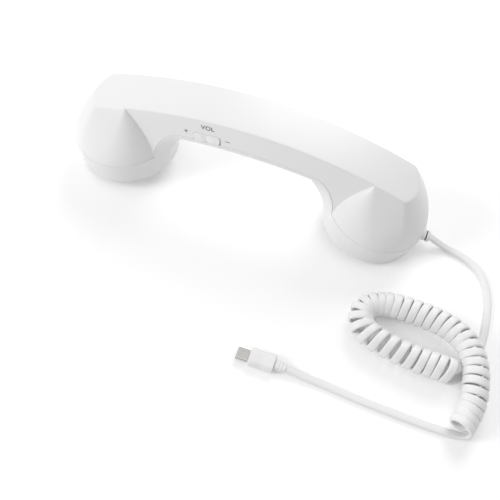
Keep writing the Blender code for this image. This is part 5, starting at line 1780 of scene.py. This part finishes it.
    def build(self, plug_pieces: Sequence[bpy.types.Object]) -> bpy.types.Object:
        """Args:
            plug_pieces: Not used.

        Returns:
            The cord.
        """
        points, normals = self.line()
        outline = rounded_outline(self.width, self.thick, self.corner, self.corner_steps)
        sections = []
        for point, tangent, normal in zip(points, directions(points), normals):
            across = tangent.cross(normal).normalized()
            face = across.cross(tangent).normalized()
            sections.append([point + across * x + face * y for x, y in outline])
        cord = self.shop.loft("curly_cord", sections)
        self.shop.dress(cord, PALETTE.jacket, "cord_jacket", "handset")
        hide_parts("cord_lead", "cord_coil", "cord_tail")
        start, _ = self.gland.mouth()
        return cord


@dataclass
class CordPlug:
    """The slim plug: its soft grip, the relief behind it and its plated shell."""

    shop: Workshop
    x: float = 43 * MM
    y: float = -106.4 * MM
    height: float = 5.4 * MM
    width: float = 10.6 * MM
    length: float = 14 * MM
    relief_length: float = 6 * MM
    relief_width: float = 7 * MM
    relief_height: float = 4.2 * MM
    taper: float = 0.7
    soft: float = 0.7 * MM
    corner: float = 2.4 * MM
    flat: float = 0.1 * MM
    waist: float = 0.25 * MM
    waist_start: float = 0.2
    waist_share: float = 0.6
    grip_steps: int = 28
    groove: float = 0.22 * MM
    grooves: int = 6
    relief_soft: float = 0.3 * MM
    relief_slope: float = 0.7
    relief_steps: int = 48

    def _section(self, x: float, width: float, height: float, corner: float) -> list[Vector]:
        """Return a ring of points across the plug's axis."""
        middle = Vector((x, self.y, self.height / 2))
        return [middle + Vector((0, across, up)) for across, up in rounded_outline(width, height, corner)]

    def _grip(self) -> bpy.types.Object:
        """Make the grip, with a slight waist and soft ends.

        Returns:
            The grip.
        """
        front = self.x - self.length / 2
        soft = self.soft
        sections = []
        for step in range(self.grip_steps + 1):
            share = step / self.grip_steps
            x = front + self.length * share
            edge = min(share, 1 - share) * self.length
            inset = 0.0 if edge >= soft else soft - math.sqrt(soft ** 2 - (soft - edge) ** 2)
            part = min(1, max(0, (share - self.waist_start) / self.waist_share))
            inset += self.waist * math.sin(math.pi * part) ** 2
            corner = min(self.corner, self.height / 2 - inset - self.flat)
            sections.append(self._section(x, self.width - 2 * inset, self.height - 2 * inset, corner))
        grip = self.shop.loft("plug_grip", sections)
        self.shop.dress(grip, PALETTE.jacket, "cord_jacket", "handset")
        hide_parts("plug_boot")
        return grip

    def _relief(self) -> bpy.types.Object:
        """Make the relief as a tapered sleeve with grooves round it.

        Returns:
            The relief.
        """
        start = self.x + self.length / 2 + GAP
        sections = []
        for step in range(self.relief_steps + 1):
            share = step / self.relief_steps
            scale = 1 + (self.taper - 1) * share
            groove = self.groove * max(0, math.sin(share * math.pi * self.grooves)) ** 2
            edge = min(share, 1 - share) * self.relief_length
            groove += max(0, self.relief_soft - edge) * self.relief_slope
            width = self.relief_width * scale - 2 * groove
            height = self.relief_height * scale - 2 * groove
            sections.append(self._section(start + self.relief_length * share, width, height, height / 2 - self.flat))
        relief = self.shop.loft("plug_sleeve", sections)
        self.shop.dress(relief, PALETTE.jacket, "cord_jacket", "handset")
        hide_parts("plug_relief")
        return relief

    def build(self) -> list[bpy.types.Object]:
        """Make the grip and the relief and dress the metal shell and its insert.

        Returns:
            The plug's four pieces.
        """
        pieces = [self._grip(), self._relief()]
        for node, finish in (("plug_shell", PALETTE.nickel), ("plug_insert", PALETTE.black)):
            dress_node(self.shop, node, finish)
            pieces.append(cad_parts[node])
        return pieces


PALETTE = Palette()

INNER_FINISHES: dict[str, Finish] = {
    "speaker_gasket": PALETTE.foam, "speaker_frame": PALETTE.steel, "speaker_magnet": PALETTE.steel,
    "speaker_cone": PALETTE.cone, "mic_boot": PALETTE.boot, "mic_capsule": PALETTE.steel,
    "circuit_board": PALETTE.board, "audio_chip": PALETTE.black, "volume_switch_up": PALETTE.black,
    "volume_switch_down": PALETTE.black, "answer_switch": PALETTE.black, "handle_weight": PALETTE.steel,
    "cord_clamp": PALETTE.steel, "ear_screw_near": PALETTE.steel, "ear_screw_far": PALETTE.steel,
    "mouth_screw_near": PALETTE.steel, "mouth_screw_far": PALETTE.steel, "board_screw_ear": PALETTE.steel,
    "board_screw_mouth": PALETTE.steel, "weight_screw": PALETTE.steel, "clamp_screw_near": PALETTE.steel,
    "clamp_screw_far": PALETTE.steel, "speaker_lead": PALETTE.red, "mic_lead": PALETTE.dark,
    "inner_cord": PALETTE.jacket,
}


def dress_node(shop: Workshop, node: str, finish: Finish) -> None:
    """Give a CAD node a finish and leave its shape alone.

    Args:
        shop: The workshop.
        node: The node's name.
        finish: Its finish.
    """
    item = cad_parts[node]
    item.data.materials.clear()
    item.data.materials.append(finish.material(shop.groups))
    LOG.info("node %s in %s", node, finish.name)


@dataclass
class InnerWorks:
    """The pieces inside the shells, which keep the shape of their nodes."""

    shop: Workshop

    def build(self) -> None:
        """Dress every inner node."""
        for node, finish in INNER_FINISHES.items():
            dress_node(self.shop, node, finish)


@dataclass(frozen=True)
class Lamp:
    """A round lamp that points at the handset."""

    name: str
    place: tuple[float, float, float]
    size: float
    power: float
    aim: tuple[float, float, float] = (0.02, -0.02, 0.02)

    def build(self) -> None:
        """Make the lamp and turn it to its aim."""
        data = bpy.data.lights.new(self.name, "AREA")
        data.shape = "DISK"
        data.size = self.size
        data.energy = self.power
        item = bpy.data.objects.new(self.name, data)
        item.location = self.place
        item.rotation_euler = (Vector(self.aim) - Vector(self.place)).to_track_quat("-Z", "Y").to_euler()
        bpy.context.scene.collection.objects.link(item)


@dataclass
class Studio:
    """The camera, the floor and the light."""

    camera_place: tuple[float, float, float] = (0.06481, -0.29672, 0.41501)
    right: tuple[float, float, float] = (0.94659, 0.3127, 0.07864)
    up: tuple[float, float, float] = (-0.30609, 0.79475, 0.5241)
    back: tuple[float, float, float] = (0.10138, -0.52018, 0.84802)
    lens: float = 61.53
    sensor: float = 36.0
    nearest: float = 0.01
    world_strength: float = 0.5
    key_lamp: Lamp = Lamp("key_lamp", (-1.3, -0.75, 0.9), 0.9, 12.6)
    back_lamp: Lamp = Lamp("back_lamp", (0.1, 0.8, 0.7), 0.7, 5.0)
    top_lamp: Lamp = Lamp("top_lamp", (0.0, 0.0, 1.05), 0.7, 0.6)
    floor_half: float = 6.0
    floor_tone: tuple[float, float, float, float] = (0.9, 0.9, 0.9, 1.0)
    floor_roughness: float = 0.9
    floor_gloss: float = 0.1
    floor_glow: float = 0.2
    far_glow: float = 0.75
    fade_start: float = 0.3
    fade_end: float = 1.3

    def camera(self) -> None:
        """Make the camera at the photograph's viewing angle."""
        data = bpy.data.cameras.new("view")
        data.sensor_width = self.sensor
        data.lens = self.lens
        data.clip_start = self.nearest
        item = bpy.data.objects.new("view", data)
        turn = Matrix((self.right, self.up, self.back)).transposed()
        item.matrix_world = Matrix.Translation(self.camera_place) @ turn.to_4x4()
        bpy.context.scene.collection.objects.link(item)
        bpy.context.scene.camera = item

    @staticmethod
    def _seen(bench: NodeBench) -> bpy.types.NodeSocket:
        """Tell the rays that show a surface from those that light others by it.

        Args:
            bench: The bench with the surface's tree.

        Returns:
            An output that is 1 for rays from the camera, off gloss or through glass.
        """
        path = bench.add("LightPath", {})
        first = bench.math("MAXIMUM", path.outputs["Is Camera Ray"], path.outputs["Is Glossy Ray"])
        return bench.math("MAXIMUM", first, path.outputs["Is Transmission Ray"])

    def world(self) -> None:
        """Make the even light from all round."""
        world = bpy.data.worlds.new("room")
        world.use_nodes = True
        bench = NodeBench(world.node_tree)
        path = bench.add("LightPath", {})
        mix = bench.add("MapRange", {"To Min": self.world_strength, "To Max": 1.0,
                                     "Value": path.outputs["Is Camera Ray"]})
        ground = world.node_tree.nodes["Background"]
        bench.feed(ground, "Color", WHITE)
        bench.feed(ground, "Strength", mix.outputs["Result"])
        bpy.context.scene.world = world

    def floor(self) -> None:
        """Make the pale floor that keeps the handset's shadow."""
        shape = bmesh.new()
        bmesh.ops.create_grid(shape, x_segments=1, y_segments=1, size=self.floor_half)
        mesh = bpy.data.meshes.new("floor")
        shape.to_mesh(mesh)
        shape.free()
        item = bpy.data.objects.new("floor", mesh)
        bpy.context.scene.collection.objects.link(item)
        material = bpy.data.materials.new("floor_white")
        material.use_nodes = True
        bench = NodeBench(material.node_tree)
        reach = bench.add("VectorMath", {0: bench.place()}, operation="LENGTH")
        fade = bench.add("MapRange", {"From Min": self.fade_start, "From Max": self.fade_end,
                                      "To Min": self.floor_glow, "To Max": self.far_glow,
                                      "Value": reach.outputs["Value"]})
        glow = bench.math("MULTIPLY", self._seen(bench), fade.outputs["Result"])
        shader = material.node_tree.nodes["Principled BSDF"]
        for label, value in (("Base Color", self.floor_tone), ("Roughness", self.floor_roughness),
                             ("Specular IOR Level", self.floor_gloss), ("Emission Color", WHITE),
                             ("Emission Strength", glow)):
            bench.feed(shader, label, value)
        mesh.materials.append(material)

    def build(self) -> None:
        """Make everything round the handset."""
        self.camera()
        self.world()
        for lamp in (self.key_lamp, self.back_lamp, self.top_lamp):
            lamp.build()
        self.floor()
        bpy.context.scene.view_settings.view_transform = "Standard"


def main() -> None:
    """Build the studio, the cord and then every other piece."""
    logging.basicConfig(level=logging.INFO, format="%(name)s: %(message)s")
    form = HousingForm()
    shop = Workshop(EffectGroups())
    Studio().build()
    gland = CordGland(form, shop)
    plug = CordPlug(shop)
    CurlyCord(shop, gland).build([*plug.build(), gland.build()])
    key = VolumeKey(form, shop)
    answer = AnswerKey(form, shop)
    BackShell(form, shop).build(key)
    FrontShell(form, shop).build(answer, gland)
    key.build()
    answer.build()
    Legends(form, shop).build()
    CupCap(form, shop, Cup.EAR, "ear_cap", hole_radius=1.0 * MM, hole_step=4.6 * MM, hole_rings=2,
           collar=15.3 * MM, collar_top=7.6 * MM).build()
    CupCap(form, shop, Cup.MOUTH, "mouth_cap", hole_radius=0.8 * MM, hole_step=3.4 * MM, hole_rings=1,
           collar=6.65 * MM, collar_top=9.0 * MM).build()
    InnerWorks(shop).build()


if __name__ == "__main__":
    main()
